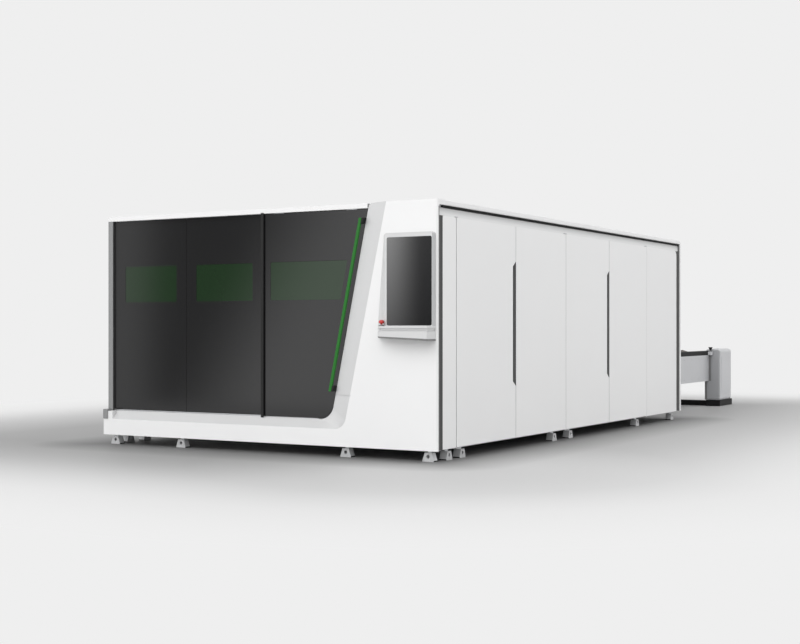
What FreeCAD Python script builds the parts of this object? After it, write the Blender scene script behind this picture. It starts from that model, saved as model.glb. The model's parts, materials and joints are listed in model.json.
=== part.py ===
import FreeCAD, Part
import math
import os
import re
import Sketcher

# Enclosed sheet-metal laser cutter with a two-pallet exchange table behind it.
# Frame: +X to the operator's right, +Y from the front doors towards the exchange table, +Z up.
# The origin lies on the floor, under the middle of the machine's bounding box. All sizes are in mm.

SIZES = {
    # Whole machine
    "enclosure_width": 3790,
    "enclosure_length": 6430,
    "enclosure_height": 2255,
    "machine_length": 9940,
    "console_reach": 145,
    "ground_clearance": 94,
    "running_gap": 0.3,
    # White front frame with its bevelled opening
    "frame_depth": 130,
    "bevel_depth": 70,
    "sill_height": 250,
    "sill_back_height": 328,
    "column_face_top": 515,
    "column_face_foot": 955,
    "column_bevel_top": 731,
    "column_bevel_foot": 1131,
    "bevel_corner": 145,
    "bevel_corner_front": 120,
    "column_corner": 25,
    "column_crown": 50,
    "end_block_width": 115,
    "bevel_joint_height": 548,
    "bevel_joint_gap": 5,
    "bevel_joint_run": 12,
    # Front door, its rails and the fixed dark panels
    "jamb_width": 64,
    "jamb_setback": 62,
    "jamb_step": 6,
    "rail_end_width": 58,
    "rail_end_depth": 50,
    "rail_end_reach": 10,
    "rail_end_height": 95,
    "head_rail_height": 45,
    "head_rail_wall": 6,
    "head_rail_chamber": 36,
    "head_rail_gap": 16,
    "door_face_depth": 72,
    "door_thickness": 30,
    "door_foot_gap": 6,
    "door_edge_gap": 5,
    "door_left_inset": 1890,
    "door_travel": 950,
    "guide_blade_width": 10,
    "guide_blade_height": 14,
    "guide_groove_depth": 12,
    "panel_face_depth": 106,
    "return_flange": 4,
    "return_setback": 68,
    "panel_seam": 3,
    "panel_seam_inset": 2825,
    "middle_panel_inset": 1850,
    "window_bottom": 1405,
    "window_top": 1757,
    "window_corner": 12,
    "left_window_gap": 192,
    "left_window_seam_gap": 122,
    "middle_window_inset": 2704,
    "middle_window_width": 670,
    "door_window_inset": 1803,
    "door_window_bar_gap": 74,
    "glass_thickness": 6,
    "glass_setback": 3,
    "seal_setback": 60,
    "seal_width": 30,
    "seal_flap": 6,
    "seal_web": 12,
    "seal_overhang": 12,
    "handle_top_gap": 85,
    "handle_bottom": 582,
    "handle_width": 28,
    "handle_edge_gap": 26,
    "handle_thickness": 20,
    "handle_standoff": 30,
    "handle_bracket_height": 50,
    "handle_bracket_reach": 20,
    "hanger_length": 110,
    "hanger_thickness": 8,
    "hanger_edge_inset": 120,
    "hanger_wheel_radius": 13,
    "hanger_wheel_width": 24,
    # Sides: hoops, headers, doors and fixed panels
    "hoop_width": 60,
    "hoop_band": 45,
    "hoop_leg": 55,
    "hoop_corner": 70,
    "panel_seat": 45,
    "side_clearance": 102,
    "side_top_gap": 94,
    "side_panel_inset": 6,
    "side_strip_start": 92,
    "side_strip_corner": 45,
    "side_seam_1": 350,
    "side_seam_2": 1560,
    "side_seam_3": 2765,
    "side_seam_4": 3974,
    "side_seam_5": 5184,
    "side_panels_end": 6270,
    "side_panels_corner": 60,
    "side_seam_gap": 8,
    "side_door_thickness": 36,
    "side_door_bottom": 106,
    "pivot_inset": 8,
    "pivot_radius": 5,
    "pivot_clearance": 0.15,
    "pivot_tab_width": 34,
    "pivot_tab_thickness": 7,
    "pivot_door_gap": 2,
    "pull_slot_bottom": 600,
    "pull_slot_top": 1780,
    "pull_slot_width": 62,
    "pull_slot_slant": 45,
    "pull_slot_depth": 28,
    "header_thickness": 20,
    "header_gap": 20,
    "header_fold": 8,
    # Tube frame and roof
    "tube_width": 60,
    "bottom_rail_height": 80,
    "roof_beam_height": 60,
    "roof_panel_thickness": 40,
    "roof_seam": 6,
    "rear_wall_thickness": 40,
    "pallet_gate_margin": 10,
    "pallet_gate_bottom": 395,
    "pallet_gate_top": 870,
    # Console
    "console_side_inset": 22,
    "console_face_width": 469,
    "console_top_width": 514,
    "console_foot_width": 578,
    "console_top": 1972,
    "console_depth": 65,
    "console_corner": 18,
    "screen_inset": 25,
    "screen_width": 446,
    "screen_bottom": 1171,
    "screen_top": 1934,
    "screen_corner": 17,
    "screen_thickness": 5,
    "shelf_top": 1167,
    "shelf_thickness": 21,
    "shelf_front_width": 488,
    "shelf_corner": 20,
    "drawer_top": 1124,
    "drawer_left_bottom": 1070,
    "drawer_right_bottom": 1040,
    "drawer_corner": 8,
    "drawer_tray_inset": 35,
    "drawer_tray_depth": 240,
    "drawer_tray_bottom": 1080,
    "drawer_wall": 12,
    "drawer_floor": 14,
    "drawer_travel": 180,
    "estop_inset": 510,
    "estop_reach": 88,
    "estop_cap_bottom": 1189,
    "estop_radius": 24,
    "estop_cap_height": 31,
    "estop_crown_height": 8,
    "estop_crown_radius": 19,
    "estop_stem_radius": 9,
    "estop_travel": 5,
    "estop_stem_length": 37,
    "collar_radius": 14,
    "collar_height": 12,
    # Levelling feet
    "foot_width": 110,
    "foot_top_width": 66,
    "foot_thickness": 70,
    "foot_pad_height": 10,
    "foot_height": 78,
    "foot_hole_radius": 17,
    "foot_stud_radius": 12,
    "front_foot_depth": 75,
    "front_foot_1": 120,
    "front_foot_2": 960,
    "front_foot_3": 2840,
    "side_foot_inset": 75,
    "side_foot_1": 280,
    "side_foot_2": 530,
    "side_foot_3": 2550,
    "side_foot_4": 2970,
    "side_foot_5": 4960,
    "side_foot_6": 6200,
    # Bed and pallet guides
    "bed_start": 1000,
    "bed_end": 6200,
    "bed_side_space": 715,
    "bed_beam_width": 250,
    "bed_beam_bottom": 120,
    "bed_beam_top": 880,
    "bed_window_length": 900,
    "bed_window_height": 360,
    "bed_window_depth": 60,
    "bed_pad_radius": 45,
    "cross_member_width": 200,
    "cross_member_height": 140,
    "rail_offset": 100,
    "rail_width": 34,
    "rail_height": 30,
    "rail_waist": 5,
    "rack_width": 30,
    "rack_offset": 220,
    "guide_start": 1450,
    "guide_shelf_width": 107,
    "guide_thickness": 12,
    "guide_flange_height": 48,
    "upper_guide_height": 670,
    "lower_guide_height": 420,
    "scrap_tray_height": 110,
    "scrap_tray_wall": 5,
    "scrap_tray_inset": 180,
    "scrap_tray_spacing": 100,
    # Equipment behind the right-hand doors
    "equipment_inset": 115,
    "equipment_depth": 325,
    "equipment_shelf_thickness": 40,
    "cabinet_start": 400,
    "cabinet_length": 1050,
    "cabinet_top_gap": 200,
    "cabinet_door_thickness": 18,
    "laser_start": 2850,
    "laser_length": 980,
    "laser_height": 1100,
    "vent_slot_height": 12,
    "vent_slot_pitch": 34,
    "vent_slot_count": 10,
    "vent_slot_depth": 10,
    "vent_side_inset": 120,
    "vent_bottom": 120,
    # Gantry, carriage and cutting head
    "gantry_parking": 5450,
    "gantry_travel": 3700,
    "beam_depth": 240,
    "beam_bottom": 1000,
    "beam_height": 290,
    "beam_wall": 22,
    "beam_chamfer": 45,
    "saddle_bottom": 936,
    "saddle_width": 195,
    "saddle_foot": 440,
    "saddle_motor_step": 80,
    "saddle_step_height": 30,
    "saddle_top_width": 280,
    "block_width": 70,
    "block_length": 110,
    "block_pitch": 280,
    "block_clearance": 5,
    "motor_offset": 205,
    "motor_width": 84,
    "motor_height": 150,
    "motor_flange": 100,
    "motor_flange_height": 12,
    "pinion_radius": 22,
    "pinion_height": 22,
    "pinion_shaft_radius": 10,
    "cross_rail_inset": 30,
    "cross_rail_width": 25,
    "cross_rail_height": 22,
    "lower_cross_rail": 1052,
    "upper_cross_rail": 1238,
    "carriage_width": 260,
    "carriage_travel": 1000,
    "carriage_plate_thickness": 16,
    "carriage_plate_height": 290,
    "carriage_block_height": 56,
    "carriage_block_length": 70,
    "z_housing_width": 140,
    "z_housing_depth": 62,
    "z_housing_bottom": 1020,
    "z_housing_height": 300,
    "z_slide_width": 110,
    "z_slide_thickness": 20,
    "z_slide_bottom": 1045,
    "z_slide_height": 230,
    "z_travel": 170,
    "head_width": 84,
    "head_corner": 12,
    "head_bottom": 1130,
    "head_height": 210,
    "head_nozzle_tip": 1010,
    "head_neck_radius": 26,
    "head_sensor_radius": 32,
    "head_sensor_height": 40,
    "head_nozzle_radius": 14,
    "head_nozzle_height": 26,
    "head_tip_radius": 3,
    # Pallets
    "pallet_end_gap": 290,
    "pallet_side_gap": 110,
    "pallet_parking": 6500,
    "pallet_travel": 4900,
    "pallet_tube_width": 80,
    "pallet_tube_height": 80,
    "pallet_underside": 20,
    "pallet_cross_height": 50,
    "pallet_bays": 3,
    "pallet_wheel_radius": 30,
    "pallet_wheel_width": 25,
    "pallet_wheel_count": 4,
    "pallet_wheel_inset": 150,
    "slat_height": 80,
    "slat_tooth_height": 28,
    "slat_teeth": 10,
    "slat_thickness": 5,
    "slat_count": 17,
    # Exchange table
    "table_beam_width": 185,
    "table_beam_bottom": 370,
    "table_beam_height": 380,
    "table_beam_wall": 8,
    "table_upper_lip": 150,
    "table_lower_lip": 60,
    "top_rail_width": 60,
    "top_rail_height": 65,
    "top_rail_chamfer": 8,
    "table_cross_width": 80,
    "post_width": 230,
    "post_length": 570,
    "post_top": 840,
    "post_corner": 45,
    "plinth_height": 90,
    "plinth_reach": 70,
    "plinth_side_inset": 12,
    "plinth_setback": 20,
    "floor_tie_height": 75,
    "floor_tie_width": 110,
    "floor_tie_setback": 90,
    "stop_bracket_width": 60,
    "stop_bracket_length": 50,
    "stop_bracket_height": 50,
    "stop_wedge_height": 55,
    "stop_wedge_thickness": 30,
}

# Places that follow from the sizes, as formulas in their names.
PLACES = {
    "right": "enclosure_width / 2",
    "left": "-enclosure_width / 2",
    "front": "(console_reach - machine_length) / 2",
    "back": "front + enclosure_length",
    "frame_back": "front + frame_depth",
    "leg_front": "back - hoop_leg",
    "wall_back": "leg_front + rear_wall_thickness",
    "table_back": "front + machine_length - post_length - plinth_reach",
    "opening_height": "enclosure_height - sill_back_height",
    "bevel_slope": "(column_bevel_foot - column_bevel_top) / opening_height",
    "face_slope": "(column_face_foot - column_face_top) / (enclosure_height - sill_height)",
    "door_head_height": "enclosure_height - head_rail_height",
    "door_face": "front + door_face_depth",
    "door_back": "door_face + door_thickness",
    "door_middle": "(door_face_depth + door_thickness / 2)",
    "door_bottom": "sill_back_height + door_foot_gap",
    "door_top": "door_head_height - door_foot_gap",
    "door_left": "right - door_left_inset",
    "door_right_top": "right - column_bevel_top - door_edge_gap"
                      " - bevel_slope * (enclosure_height - door_top)",
    "door_right_foot": "right - column_bevel_foot + bevel_slope * door_foot_gap - door_edge_gap",
    "panel_face": "front + panel_face_depth",
    "panel_thickness": "frame_depth - panel_face_depth",
    "panel_height": "door_head_height - sill_back_height",
    "left_window_inset": "enclosure_width - left_window_gap",
    "left_window_width": "left_window_inset - panel_seam_inset - left_window_seam_gap",
    "window_height": "window_top - window_bottom",
    "handle_top": "door_head_height - handle_top_gap",
    "handle_face": "door_face - handle_standoff - handle_thickness",
    "side_face": "right - side_panel_inset",
    "side_panel_top": "door_head_height - side_top_gap",
    "side_panel_thickness": "panel_seat - side_panel_inset",
    "side_panel_height": "side_panel_top - side_clearance",
    "rail_inner": "right - panel_seat - tube_width",
    "rail_outer": "right - panel_seat",
    "tube_top": "door_head_height",
    "top_rail_bottom": "side_panel_top + pivot_door_gap",
    "header_bottom": "side_panel_top + pivot_door_gap",
    "header_top": "door_head_height - header_gap",
    "post_bottom": "ground_clearance + bottom_rail_height",
    "console_right": "right - console_side_inset",
    "console_face": "front - console_depth",
    "tray_width": "shelf_front_width - 2 * drawer_tray_inset",
    "tray_left": "console_right - shelf_front_width + drawer_tray_inset",
    "front_foot_4": "enclosure_width - front_foot_1",
    "bed_front": "front + bed_start",
    "bed_back": "front + bed_end",
    "bed_length": "bed_end - bed_start",
    "bed_gauge": "enclosure_width - 2 * bed_side_space",
    "bed_inner": "bed_gauge / 2",
    "bed_outer": "bed_inner + bed_beam_width",
    "rail_gauge": "bed_gauge + 2 * rail_offset",
    "rack_gauge": "bed_gauge + 2 * rack_offset",
    "pallet_gate_width": "bed_gauge + 2 * pallet_gate_margin",
    "scrap_tray_width": "bed_gauge - 2 * scrap_tray_inset",
    "cabinet_height": "tube_top - roof_beam_height - cabinet_top_gap - post_bottom",
    "gantry_y": "front + gantry_parking",
    "beam_top": "beam_bottom + beam_height",
    "beam_length": "bed_gauge + 2 * bed_beam_width",
    "cross_rail_length": "bed_gauge - 2 * cross_rail_inset",
    "carriage_back": "gantry_y - beam_depth / 2 - cross_rail_height - running_gap",
    "carriage_front": "carriage_back - carriage_plate_thickness",
    "housing_front": "carriage_front - z_housing_depth",
    "slide_front": "housing_front - running_gap - z_slide_thickness",
    "pallet_length": "machine_length - pallet_parking - pallet_end_gap",
    "pallet_width": "bed_gauge - 2 * pallet_side_gap",
    "pallet_side": "pallet_width / 2",
    "slat_span": "pallet_width - 2 * pallet_tube_width",
    "slat_pitch": "(pallet_length - pallet_tube_width) / slat_count",
    "bay_length": "(pallet_length - pallet_tube_width) / pallet_bays",
    "table_beam_top": "table_beam_bottom + table_beam_height",
    "table_outer": "bed_inner + table_beam_width",
    "post_inner": "table_outer - top_rail_width",
}

AXES = {"x": FreeCAD.Vector(1, 0, 0), "y": FreeCAD.Vector(0, 1, 0), "z": FreeCAD.Vector(0, 0, 1)}

DOC = FreeCAD.newDocument("laser_cutter")
PARTS = []


def fill_sheet():
    """Write every driving size into the sheet, one row each, with its name as the cell's alias."""
    sheet = DOC.addObject("Spreadsheet::Sheet", "Sizes")
    for row, (name, value) in enumerate(SIZES.items(), start=1):
        sheet.set(f"A{row}", name)
        sheet.set(f"B{row}", str(value))
        sheet.setAlias(f"B{row}", name)
    DOC.recompute()


def formula(words):
    """Turn a formula in size names into one that reads the cells of the sheet."""

    def reference(match):
        word = match.group()
        if word in PLACES:
            return f"({formula(PLACES[word])})"
        if word in SIZES:
            return f"Sizes.{word}"
        return word

    return re.sub(r"[a-z][a-z0-9_]*", reference, str(words))


def bind(thing, **formulas):
    """Bind the properties of an object to formulas."""
    for key, words in formulas.items():
        thing.setExpression(key, formula(words))


def move(thing, at):
    """Place an object at three formulas."""
    for axis, words in zip("xyz", at):
        thing.setExpression(f"Placement.Base.{axis}", formula(words))


def keep(node, thing):
    """Name an object as one of the machine's sub-parts."""
    thing.Label = node
    PARTS.append(thing)
    return thing


def block(name, at, size):
    """A box from its lowest corner and its three lengths."""
    box = DOC.addObject("Part::Box", name)
    bind(box, Length=size[0], Width=size[1], Height=size[2])
    move(box, at)
    return box


def rod(name, at, radius, length, along="z"):
    """A cylinder from the middle of its first end, running along one axis."""
    cylinder = DOC.addObject("Part::Cylinder", name)
    cylinder.Placement.Rotation = FreeCAD.Rotation(AXES["z"], AXES[along])
    bind(cylinder, Radius=radius, Height=length)
    move(cylinder, at)
    return cylinder


def cone(name, at, lower_radius, upper_radius, height):
    """An upright cone frustum from the middle of its foot."""
    frustum = DOC.addObject("Part::Cone", name)
    bind(frustum, Radius1=lower_radius, Radius2=upper_radius, Height=height)
    move(frustum, at)
    return frustum


def prism(name, at, radius, length, sides, along="z"):
    """A regular prism from the middle of its first end, running along one axis."""
    post = DOC.addObject("Part::Prism", name)
    post.Placement.Rotation = FreeCAD.Rotation(AXES["z"], AXES[along])
    bind(post, Polygon=sides, Circumradius=radius, Height=length)
    move(post, at)
    return post


def draw(sketch, corners, rounds=None):
    """Draw a closed outline: each corner is held by two dimensions, and some are rounded."""
    count = len(corners)
    turn = 2 * math.pi / count
    start = [FreeCAD.Vector(math.cos(turn * i), math.sin(turn * i)) for i in range(count)]
    sketch.addGeometry([Part.LineSegment(start[i], start[(i + 1) % count]) for i in range(count)])
    sketch.addConstraint([Sketcher.Constraint("Coincident", i, 2, (i + 1) % count, 1) for i in range(count)])
    for i, (across, up) in enumerate(corners):
        for kind, word, value in (("DistanceX", "across", across), ("DistanceY", "up", up)):
            index = sketch.addConstraint(Sketcher.Constraint(kind, -1, 1, i, 1, 1.0))
            sketch.renameConstraint(index, f"{word}_{i}")
            sketch.setExpression(f"Constraints.{word}_{i}", formula(value))
    DOC.recompute()
    for corner, radius in (rounds or {}).items():
        sketch.fillet((corner - 1) % count, 2, 1.0, True, True)
        arc = max(i for i, curve in enumerate(sketch.Geometry) if curve.TypeId == "Part::GeomArcOfCircle")
        index = sketch.addConstraint(Sketcher.Constraint("Radius", arc, 1.0))
        sketch.renameConstraint(index, f"round_{corner}")
        sketch.setExpression(f"Constraints.round_{corner}", formula(radius))
    DOC.recompute()


def origin_feature(body, role):
    """One of a body's own origin planes or axes."""
    return next(feature for feature in body.Origin.OriginFeatures if feature.Role == role)


def body_sketch(body, plane, corners, rounds=None):
    """A sketch on one of the body's own origin planes."""
    sketch = body.newObject("Sketcher::SketchObject", "outline")
    sketch.AttachmentSupport = [(origin_feature(body, plane), "")]
    sketch.MapMode = "FlatFace"
    draw(sketch, corners, rounds)
    return sketch


def profile(name, plane, corners, depth, at, rounds=None):
    """Pad an outline along the positive axis that is square to its plane."""
    body = DOC.addObject("PartDesign::Body", name)
    pad = body.newObject("PartDesign::Pad", "pad")
    pad.Profile = body_sketch(body, plane, corners, rounds)
    pad.Reversed = plane == "XZ_Plane"
    bind(pad, Length=depth)
    body.Tip = pad
    move(body, at)
    return body


def repeat(body, along, pitch, count):
    """Repeat the last feature of a body in a straight row."""
    pattern = body.newObject("PartDesign::LinearPattern", "row")
    pattern.Originals = [body.Tip]
    pattern.Direction = (origin_feature(body, along), [""])
    bind(pattern, Length=f"({pitch}) * ({count} - 1)", Occurrences=count)
    body.Tip = pattern
    return body


def cut(name, base, *tools):
    """Take tools, which don't touch each other, away from a base."""
    result = DOC.addObject("Part::Cut", name)
    result.Base = base
    result.Tool = tools[0] if len(tools) == 1 else group(name + "_tools", *tools)
    return result


def join(name, *members):
    """Weld members that touch into one solid."""
    result = DOC.addObject("Part::MultiFuse", name)
    result.Shapes = list(members)
    result.Refine = True
    return result


def group(name, *members):
    """Hold separate solids in one sub-part."""
    result = DOC.addObject("Part::Compound", name)
    result.Links = list(members)
    return result


def soften(name, base, radius, wanted):
    """Round the edges of a base that a test picks out."""
    DOC.recompute()
    result = DOC.addObject("Part::Fillet", name)
    result.Base = base
    value = SIZES[radius]
    edges = enumerate(base.Shape.Edges, start=1)
    result.Edges = [(number, value, value) for number, edge in edges if wanted(edge)]
    return result


def runs_along(edge, axis):
    """Whether an edge is straight and parallel to an axis."""
    if edge.Curve.TypeId != "Part::GeomLine":
        return False
    return abs(edge.tangentAt(edge.FirstParameter).dot(AXES[axis])) > 0.999


def opening_sketch(name, depth, edge_start, sill, foot, top, corner):
    """The front opening's outline at one depth, with its slanted side and rounded lower corner."""
    sketch = DOC.addObject("Sketcher::SketchObject", name)
    sketch.Placement = FreeCAD.Placement(FreeCAD.Vector(), FreeCAD.Rotation(AXES["x"], 90))
    bind(sketch, **{"Placement.Base.y": f"front + {depth}"})
    corners = [
        (f"left + {edge_start}", sill),
        (f"right - {foot}", sill),
        (f"right - {top}", "enclosure_height"),
        (f"left + {edge_start}", "enclosure_height"),
    ]
    draw(sketch, corners, {1: corner})
    return sketch


def make_front_frame():
    """The white L of sill and column: a slab cut by the bevelled opening."""
    slab = block(
        "front_slab",
        ("left", "front", "ground_clearance"),
        ("enclosure_width", "frame_depth", "enclosure_height - ground_clearance"),
    )
    rounded = soften("front_slab_rounded", slab, "column_corner", lambda edge: (
        runs_along(edge, "z")
        and edge.CenterOfMass.x > 0
        and edge.CenterOfMass.y < slab.Shape.CenterOfMass.y))
    outer = opening_sketch(
        "opening_at_face", "0", "end_block_width", "sill_height",
        "column_face_foot", "column_face_top", "bevel_corner_front")
    inner = opening_sketch(
        "opening_at_door", "bevel_depth", "end_block_width", "sill_back_height",
        "column_bevel_foot", "column_bevel_top", "bevel_corner")
    bevel = DOC.addObject("Part::Loft", "opening_bevel")
    bevel.Sections = [outer, inner]
    bevel.Solid = True
    bevel.Ruled = True
    passage = DOC.addObject("Part::Extrusion", "opening_passage")
    passage.Base = inner
    passage.DirMode = "Custom"
    passage.Dir = AXES["y"]
    passage.Solid = True
    bind(passage, LengthFwd="frame_depth - bevel_depth")
    end_space = block(
        "end_space",
        ("left", "front", "sill_back_height"),
        ("end_block_width", "frame_depth", "opening_height"),
    )
    rail_end_notch = block(
        "rail_end_notch",
        ("left", "front", "sill_height"),
        ("rail_end_width", "rail_end_depth", "sill_back_height - sill_height"),
    )
    side_step = block(
        "side_step",
        ("right - panel_seat", "front + column_corner", "ground_clearance"),
        ("panel_seat", "frame_depth - column_corner", "door_head_height - ground_clearance"),
    )
    face_inset = "(column_face_foot - face_slope * (bevel_joint_height - sill_height))"
    bevel_inset = "(column_bevel_foot - bevel_slope * (bevel_joint_height - sill_back_height))"
    joint = profile(
        "bevel_joint", "XY_Plane",
        [(f"-{face_inset}", 0),
         (f"-{bevel_inset}", "bevel_depth"),
         (f"-{bevel_inset} + bevel_joint_run", "bevel_depth"),
         (f"-{face_inset} + bevel_joint_run", 0)],
        "bevel_joint_gap", ("right", "front", "bevel_joint_height"))
    tray_slot = block(
        "tray_slot",
        ("tray_left - running_gap", "front", "drawer_tray_bottom - running_gap"),
        ("tray_width + 2 * running_gap", "frame_depth", "drawer_top - drawer_tray_bottom + running_gap"),
    )
    frame = rounded
    for number, tool in enumerate((bevel, passage, end_space, rail_end_notch, side_step, joint, tray_slot)):
        frame = cut(f"front_frame_{number}", frame, tool)
    crown_x = SIZES["enclosure_width"] / 2 - SIZES["column_bevel_top"]
    crowned = soften("front_frame_crowned", frame, "column_crown", lambda edge: (
        runs_along(edge, "y")
        and edge.CenterOfMass.z > SIZES["enclosure_height"] - 1
        and abs(edge.CenterOfMass.x - crown_x) < 1))
    keep("front_frame", crowned)


def make_front_rails():
    """The jamb, the rail end block and the rails that the front door runs in."""
    jamb = profile(
        "jamb", "XY_Plane",
        [(0, "jamb_step"), ("jamb_width / 2", "jamb_step"), ("jamb_width / 2", 0), ("jamb_width", 0),
         ("jamb_width", "frame_depth - jamb_setback"), (0, "frame_depth - jamb_setback")],
        "panel_height", ("left", "front + jamb_setback", "sill_back_height"))
    keep("left_jamb", jamb)
    end = block(
        "rail_end", ("left", "front - rail_end_reach", "sill_height"),
        ("rail_end_width", "rail_end_reach + rail_end_depth", "rail_end_height"))
    keep("rail_end_block", soften("rail_end_softened", end, "jamb_step", lambda edge: (
        runs_along(edge, "x") and edge.CenterOfMass.z > SIZES["sill_height"] + 1)))
    wall = "head_rail_wall"
    chamber_end = "head_rail_wall + head_rail_chamber"
    chamber_top = "head_rail_height - head_rail_wall"
    gap_start = "door_middle - jamb_setback - head_rail_gap / 2"
    gap_end = "door_middle - jamb_setback + head_rail_gap / 2"
    head = profile(
        "head_rail", "YZ_Plane",
        [(0, 0), (gap_start, 0), (gap_start, wall), (wall, wall), (wall, chamber_top),
         (chamber_end, chamber_top), (chamber_end, wall), (gap_end, wall), (gap_end, 0),
         ("frame_depth - jamb_setback", 0), ("frame_depth - jamb_setback", "head_rail_height"),
         (0, "head_rail_height")],
        "enclosure_width - column_bevel_top - bevel_slope * head_rail_height - door_edge_gap",
        ("left", "front + jamb_setback", "door_head_height"))
    keep("upper_door_rail", head)
    blade = block(
        "guide_blade",
        ("left + jamb_width + return_flange", "front + door_middle - guide_blade_width / 2",
         "sill_back_height"),
        ("enclosure_width - jamb_width - return_flange - column_bevel_foot - bevel_corner",
         "guide_blade_width", "guide_blade_height"))
    keep("lower_door_rail", blade)


def window_blank(name, left_inset, width, at_y, thickness):
    """The outline of a rounded rectangular window, padded to a thickness."""
    return profile(
        name, "XZ_Plane",
        [(0, 0), (width, 0), (width, "window_height"), (0, "window_height")],
        thickness, (f"right - {left_inset}", at_y, "window_bottom"),
        {corner: "window_corner" for corner in range(4)})


def make_fixed_panels():
    """The two fixed dark panels on the left, with their windows; the outer one is folded to the front."""
    left_panel = block(
        "left_panel", ("left + jamb_width", "panel_face", "sill_back_height"),
        ("enclosure_width - jamb_width - panel_seam_inset - panel_seam / 2",
         "panel_thickness", "panel_height"))
    flange = block(
        "left_return", ("left + jamb_width", "front + return_setback", "sill_back_height"),
        ("return_flange", "panel_face_depth - return_setback", "panel_height"))
    middle_panel = block(
        "middle_panel", ("right - panel_seam_inset + panel_seam / 2", "panel_face", "sill_back_height"),
        ("panel_seam_inset - middle_panel_inset - panel_seam / 2", "panel_thickness", "panel_height"))
    left_window = ("left_window_inset", "left_window_width")
    middle_window = ("middle_window_inset", "middle_window_width")
    left_hole = window_blank("left_window_hole", *left_window, "panel_face", "panel_thickness")
    middle_hole = window_blank("middle_window_hole", *middle_window, "panel_face", "panel_thickness")
    keep("front_panel_left", join("left_panel_folded", cut("left_panel_cut", left_panel, left_hole), flange))
    keep("front_panel_middle", cut("middle_panel_cut", middle_panel, middle_hole))
    glass_y = "panel_face + glass_setback"
    keep("fixed_windows", group(
        "fixed_panes",
        window_blank("left_pane", *left_window, glass_y, "glass_thickness"),
        window_blank("middle_pane", *middle_window, glass_y, "glass_thickness")))


def door_window(name, at_y, thickness):
    """The door's window: its right side runs along the handle bar."""
    top_right = ("right - column_bevel_top - bevel_slope * (enclosure_height - window_top)"
                 " - handle_edge_gap - handle_width - door_window_bar_gap")
    foot_right = f"{top_right} - bevel_slope * window_height"
    left_x = "right - door_window_inset"
    return profile(
        name, "XZ_Plane",
        [(left_x, 0), (foot_right, 0), (top_right, "window_height"), (left_x, "window_height")],
        thickness, (0, at_y, "window_bottom"),
        {corner: "window_corner" for corner in range(4)})


def handle_edge(height, offset):
    """A point's x on a line beside the door's slanted edge, at a height and an offset from the opening."""
    return f"right - column_bevel_top - bevel_slope * (enclosure_height - ({height})) - ({offset})"


def slanted_bar(name, low, high, near, far, at_y, thickness):
    """A bar parallel to the door's slanted edge, between two heights and two offsets."""
    return profile(
        name, "XZ_Plane",
        [(handle_edge(low, far), low), (handle_edge(low, near), low),
         (handle_edge(high, near), high), (handle_edge(high, far), high)],
        thickness, (0, at_y, 0))


def make_front_door():
    """The sliding leaf with its window, seal, handle bar and hangers."""
    leaf = profile(
        "door_leaf", "XZ_Plane",
        [("door_left", "door_bottom"), ("door_right_foot", "door_bottom"),
         ("door_right_top", "door_top"), ("door_left", "door_top")],
        "door_thickness", (0, "door_face", 0), {1: "bevel_corner"})
    groove = block(
        "door_groove",
        ("door_left", "front + door_middle - guide_blade_width / 2 - running_gap", "door_bottom"),
        ("door_right_foot - door_left", "guide_blade_width + 2 * running_gap", "guide_groove_depth"))
    keep("sliding_door", cut(
        "door_leaf_cut", leaf, groove, door_window("door_window_hole", "door_face", "door_thickness")))
    keep("door_window", door_window("door_pane", "door_face + glass_setback", "glass_thickness"))

    flap = block(
        "seal_flap",
        ("door_left - seal_web", "front + seal_setback - seal_flap", "door_bottom - seal_overhang"),
        ("seal_width", "seal_flap", "door_top - door_bottom + 2 * seal_overhang"))
    web = block(
        "seal_web", ("door_left - seal_web", "front + seal_setback", "door_bottom + guide_groove_depth"),
        ("seal_web", "door_back - front - seal_setback", "door_top - door_bottom - guide_groove_depth"))
    keep("door_edge_seal", join("door_seal", flap, web))

    near = "handle_edge_gap"
    far = "handle_edge_gap + handle_width"
    keep("door_handle_bar", slanted_bar(
        "handle_bar", "handle_bottom", "handle_top", near, far, "handle_face", "handle_thickness"))
    brackets = []
    for end, low in (("lower", "handle_bottom"), ("upper", "handle_top - handle_bracket_height")):
        high = f"{low} + handle_bracket_height"
        behind = slanted_bar(
            f"{end}_bracket_back", low, high, near, far, "handle_face + handle_thickness", "handle_standoff")
        beside = slanted_bar(
            f"{end}_bracket_side", low, high, "handle_edge_gap - handle_bracket_reach", near,
            "handle_face", "handle_thickness + handle_standoff")
        brackets.append(join(f"{end}_bracket", behind, beside))
    keep("door_handle_brackets", group("handle_brackets", *brackets))

    hangers = []
    middle_y = "front + door_middle"
    wheel_z = "door_head_height + head_rail_wall + hanger_wheel_radius + running_gap"
    for end, start in (("left", "door_left + hanger_edge_inset"),
                       ("right", "door_right_top - hanger_edge_inset - hanger_length")):
        plate = block(
            f"{end}_hanger_plate", (start, f"{middle_y} - hanger_thickness / 2", "door_top"),
            ("hanger_length", "hanger_thickness", f"{wheel_z} + hanger_wheel_radius / 2 - door_top"))
        wheels = [
            prism(f"{end}_hanger_wheel",
                  (f"{start} + hanger_length * {share}", f"{middle_y} - hanger_wheel_width / 2", wheel_z),
                  "hanger_wheel_radius", "hanger_wheel_width", 12, "y")
            for share in (0.2, 0.8)]
        hangers.append(join(f"{end}_hanger", plate, *wheels))
    keep("door_hangers", group("hangers", *hangers))


def mirrored_x(name, source):
    """A copy of an object on the other side of the machine."""
    mirror = DOC.addObject("Part::Mirroring", name)
    mirror.Source = source
    mirror.Normal = AXES["x"]
    return mirror


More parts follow.
